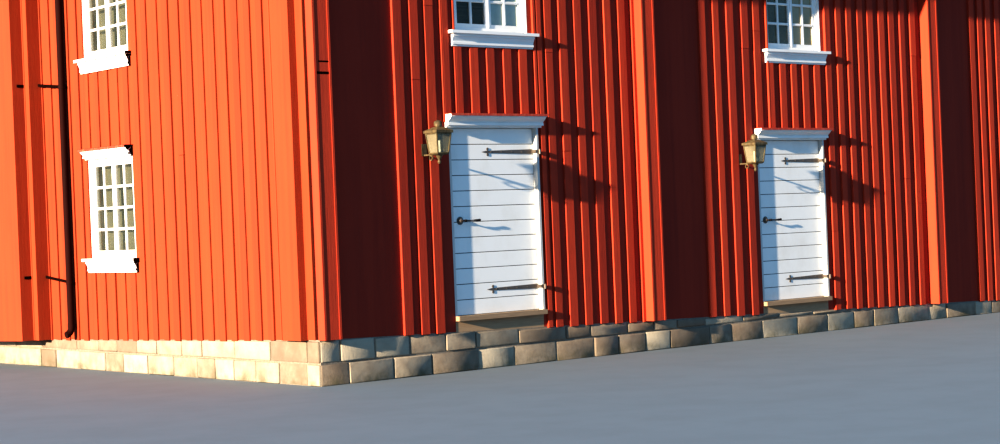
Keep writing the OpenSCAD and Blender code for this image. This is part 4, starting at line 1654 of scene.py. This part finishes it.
@dataclass
class MouldingEnds:
    """Dark plates over the ends of the mouldings at the windows of the sunlit end: painted shade."""

    thickness: float = 0.002
    share: float = 0.8
    drip: float = 0.06

    def build(self, walls: dict[Side, Wall]) -> None:
        """Covers the ends that face the door front with painted shade.

        Args:
            walls: The building's walls.
        """
        ends = Shape()
        wall_face = walls[Side.LEFT].origin.x
        for node in ("window_crowns", "window_sills"):
            part = welded(node)
            for face in part.faces:
                if face.normal.y < -ALIGNED and face.calc_center_median().x < wall_face:
                    self.add_plate(ends, face)
            part.free()
        ends.piece("moulding_ends_painted_shade", TAR_AND_SHADE, "white_paint")

    def add_plate(self, ends: Shape, face: bmesh.types.BMFace) -> None:
        """Adds a thin plate over one face of an end.

        Args:
            ends: The mesh that takes it.
            face: The face that it covers.
        """
        heights = [vert.co.z for vert in face.verts]
        back = max(vert.co.x for vert in face.verts)
        share = self.share if max(heights) - min(heights) > self.drip else 1.0
        corners = [Vector((back + (v.co.x - back) * share, v.co.y, v.co.z)) for v in face.verts]
        fresh = ends.bm.faces.new([ends.bm.verts.new(corner) for corner in corners])
        raised = bmesh.ops.extrude_face_region(ends.bm, geom=[fresh], use_keep_orig=True)["geom"]
        verts = [item for item in raised if isinstance(item, bmesh.types.BMVert)]
        bmesh.ops.translate(ends.bm, vec=(0, -self.thickness, 0), verts=verts)
        bmesh.ops.recalc_face_normals(ends.bm, faces=list({f for v in verts for f in v.link_faces} | {fresh}))


@dataclass
class PipeTies:
    """Iron ties that stay the downpipe to the pilaster beside it and grip the rear bay."""

    height: float = 0.034
    thickness: float = 0.008
    out: float = 0.050
    rise: float = 0.075
    levels: tuple[float, float] = (1.03, 3.37)
    grip_in: float = 0.06
    grip: float = 0.24
    seat: float = 0.002
    edge: float = 0.0015

    def build(self) -> None:
        """Makes the ties at each clip of the pipe."""
        pipe, pilaster = node_box("downpipe"), node_box("end_pilaster")
        bay = node_box("rear_bay_boarding")
        face = node_box("left_wall").low.x - self.out
        half = Vector((0, 0, self.height / 2))
        shape = Shape()
        for level in self.levels:
            low = Vector((face - self.thickness, pipe.low.y, level))
            tie = shape.box(Box(low - half, Vector((face, pilaster.low.y + self.seat, level)) + half))
            for vert in tie:
                if vert.co.y > pipe.high.y + self.thickness:
                    vert.co.z += self.rise
            low = Vector((bay.low.x + self.grip_in, bay.low.y - self.thickness, level + self.rise))
            high = Vector((bay.low.x + self.grip, bay.low.y + self.seat, level + self.rise))
            shape.box(Box(low - half, high + half))
        shape.bevel(shape.bm.edges, self.edge, 1)
        shape.piece("pipe_ties", TAR_AND_SHADE, "black_iron")


@dataclass(frozen=True)
class Joint:
    """An open joint between two lengths of a board: its level, its height and where it starts."""

    level: float
    height: float
    left: float


@dataclass
class ButtJoints:
    """Open joints in the front board of the near corner box, where two lengths meet."""

    joints: tuple[Joint, ...] = (Joint(3.200, 0.016, 0.055), Joint(3.087, 0.026, 0.035))
    right: float = 0.025
    board_in: float = 0.006
    proud: float = 0.0008
    behind: float = 0.004
    edge: float = 0.0003

    def build(self) -> None:
        """Makes the dark lines of the joints."""
        box = solid_boxes("corner_boxes")[0]
        face = box.low.y + self.board_in
        shape = Shape()
        for joint in self.joints:
            low = Vector((box.low.x + joint.left, face - self.proud, joint.level - joint.height / 2))
            high = Vector((box.high.x - self.right, face + self.behind, joint.level + joint.height / 2))
            shape.box(Box(low, high))
        shape.bevel(shape.bm.edges, self.edge, 1)
        shape.piece("corner_board_joints", TAR_AND_SHADE, "red_boards")


@dataclass
class Blinds:
    """Pale linen blinds that hang behind the windows of the sunlit end."""

    margin: float = 0.02
    behind: float = 0.150
    fold: float = 0.004
    folds: float = 7.0
    ripple: float = 0.4
    ripples: float = 18.9
    slant: float = 3.0
    clear: float = 1.4
    thickness: float = 0.0012
    columns: int = 56
    rows: int = 6
    batten: float = 0.03
    batten_edge: float = 0.002

    def build(self) -> None:
        """Makes a blind and its batten for each window of that end."""
        wall = node_box("left_wall")
        level = wall.low.x + self.behind
        windows = [box for box in solid_boxes("window_frames") if box.centre.x < wall.high.x]
        for number, window in enumerate(windows, 1):
            top = window.high.z - PLAY
            batten = Shape()
            low = Vector((level - self.batten, window.low.y + PLAY, top - self.batten))
            batten.box(Box(low, Vector((level, window.high.y - PLAY, top))))
            batten.bevel(batten.bm.edges, self.batten_edge, 1)
            batten.piece(f"blind_batten_{number}", FLOOR_WOOD, "floor_boards")
            self.hang(window, level, top, number)

    def hang(self, window: Box, level: float, top: float, number: int) -> None:
        """Hangs one blind with its shallow upright folds.

        Args:
            window: The window's frame.
            level: The blind's distance along X.
            top: Its upper edge.
            number: Its number from below.
        """
        width, length = window.size.y - 2 * self.margin, top - window.low.z - self.margin
        shape = Shape()
        grid = bmesh.ops.create_grid(shape.bm, x_segments=self.columns, y_segments=self.rows, size=0.5)
        for vert in grid["verts"]:
            across, down = vert.co.x, 0.5 - vert.co.y
            wave = math.sin(across * self.folds * math.tau)
            wave += self.ripple * math.sin(across * self.ripples + down * self.slant)
            away = self.fold * (self.clear + wave * down)
            height = top - self.fold - down * length
            vert.co = Vector((level + away, window.centre.y + across * width, height))
        piece = shape.piece(f"linen_blind_{number}", LINEN, "white_paint", smooth=True)
        piece.modifiers.new("cloth", "SOLIDIFY").thickness = self.thickness


@dataclass
class Candles:
    """A candle tube in each lantern."""

    radius: float = 0.0165
    height: float = 0.135
    taper: float = 0.97
    sides: int = 20

    def build(self) -> None:
        """Makes the wax-coloured sleeves over the tubes."""
        shape = Shape()
        axis, top_radius = Vector((0, 0, self.height)), self.radius * self.taper
        for glass in solid_boxes("lantern_glass"):
            foot = Vector((glass.centre.x, glass.centre.y, glass.low.z + PLAY))
            shape.cylinder(foot, axis, self.radius, top_radius, self.sides)
        shape.piece("candle_sleeves", WAX, "white_paint", smooth=True)


@dataclass
class Studio:
    """Camera, light and floor."""

    eye_from_corner: Place = (-10.2, -14.65, 1.55)
    heading: Place = (0.652, 0.758, 0.0)
    roll: float = math.radians(2.34)
    lens: float = 64.94
    film: float = 36.0
    sight: float = 500.0
    sun_travel: Place = (7.5, 1.0, -1.75)
    sun_strength: float = 12.6
    sun_angle: float = math.radians(0.8)
    sun_colour: RGB = (1.0, 0.79, 0.57)
    sky: tuple[float, float, float, float] = (0.19, 0.44, 0.76, 1.0)
    sky_strength: float = 0.88
    floor_half: float = 60.0

    def build(self) -> None:
        """Sets up all of it."""
        self.camera()
        self.lights()
        self.floor()

    def camera(self) -> None:
        """Camera at the photograph's place, rolled as it was."""
        ahead, up = Vector(self.heading).normalized(), Vector((0, 0, 1))
        right = ahead.cross(up).normalized()
        rolled_right = right * math.cos(self.roll) - up * math.sin(self.roll)
        rolled_up = up * math.cos(self.roll) + right * math.sin(self.roll)
        data = bpy.data.cameras.new("camera")
        data.lens = self.lens
        data.sensor_width = self.film
        data.clip_end = self.sight
        camera = bpy.data.objects.new("camera", data)
        turn = Matrix((rolled_right, rolled_up, -ahead)).transposed().to_4x4()
        corner = node_box("long_plinths").low
        camera.matrix_world = Matrix.Translation(corner + Vector(self.eye_from_corner)) @ turn
        bpy.context.scene.collection.objects.link(camera)
        bpy.context.scene.camera = camera

    def lights(self) -> None:
        """Low key light from the left and an even cool sky."""
        data = bpy.data.lights.new("key", "SUN")
        data.energy = self.sun_strength
        data.angle = self.sun_angle
        data.color = self.sun_colour
        key = bpy.data.objects.new("key", data)
        key.matrix_world = Vector(self.sun_travel).to_track_quat("-Z", "Y").to_matrix().to_4x4()
        bpy.context.scene.collection.objects.link(key)
        world = bpy.data.worlds.new("sky")
        world.use_nodes = True
        background = world.node_tree.nodes["Background"]
        background.inputs["Color"].default_value = self.sky
        background.inputs["Strength"].default_value = self.sky_strength
        bpy.context.scene.world = world
        view = bpy.context.scene.view_settings
        view.view_transform = "Standard"
        view.look = "High Contrast"

    def floor(self) -> None:
        """Wide pale floor at the lowest ground level."""
        bm = bmesh.new()
        bmesh.ops.create_grid(bm, x_segments=1, y_segments=1, size=self.floor_half)
        mesh = bpy.data.meshes.new("floor")
        bm.to_mesh(mesh)
        bm.free()
        mesh.materials.append(STUDIO.material())
        floor = bpy.data.objects.new("floor", mesh)
        bpy.context.scene.collection.objects.link(floor)


def dress_frame() -> None:
    """Gives every node of the frame its finish."""
    leaves, ironwork, levers = ([f"door_{part}_{k}" for k in DOORS] for part in ("leaf", "ironwork", "lever"))
    windows = ("window_frames", "window_sashes", "window_sills", "window_crowns")
    # The red copies are toned for the light on each wall: painted light on the long walls, painted shade on
    # the ends
    dress(RED_LONG, "back_wall", "front_pilasters", "corner_boxes")
    # The boards behind the cover strips take the darker copy of the red paint, as painted shade
    dress(RED_BEHIND_SHADED, "front_piers", "front_lintels", "front_wall_upper")
    dress(RED_END, "left_wall", "right_wall", "end_casings", "end_pilaster", "rear_bay_boarding")
    dress(RED_END, "soffit", "fascia")
    # The door posts and stops take the darker white, as painted shade
    dress(POST_WHITE_SHADED, "door_posts", "door_stops")
    dress(WHITE, "door_heads", "door_cornices", *leaves, *windows)
    dress(MORTAR, "long_plinths", "end_plinths")
    dress(FLOOR_WOOD, "ground_floor", "upper_floor", "attic_floor", "thresholds")
    dress(FLOOR_WOOD, "front_roof", "back_roof", "left_roof", "right_roof")
    dress(STRAP_IRON, "hinge_pintles", *ironwork)
    dress(IRON, *levers)
    dress(Glass("window_panes", reflections=front_reflections()), "window_glass")
    dress(LANTERN_PANES, "lantern_glass")
    dress(BRASS, "lanterns", "lantern_brackets")
    dress(SHEET, "gutters")
    dress(PIPE_SHEET, "downpipe")


def main() -> None:
    """Builds the studio, then the pieces of the building in order."""
    logging.basicConfig(level=logging.INFO, format="%(name)s %(message)s")
    Studio().build()
    dress_frame()
    walls = building_walls()
    ends = Cladding(END_STRETCHES, wander=0.003, thickness=0.022)
    claddings = {
        Side.FRONT: (Cladding(FRONT_STRETCHES), RED_LONG),
        Side.LEFT: (ends, RED_END),
        Side.RIGHT: (ends, RED_END),
        Side.BACK: (Cladding(BACK_STRETCHES), RED_LONG),
    }
    for side, (cladding, finish) in claddings.items():
        cladding.build(walls[side], f"{side.value}_cover_strips", finish)
    for part in (Glazing(), Flashing(), RoofCover()):
        part.build()
    Plinth().build(walls)
    DoorFittings().build()
    for part in (CornerTrim(), MouldingEnds()):
        part.build(walls)
    for part in (PipeTies(), ButtJoints(), Blinds(), Candles()):
        part.build()


if __name__ == "__main__":
    main()
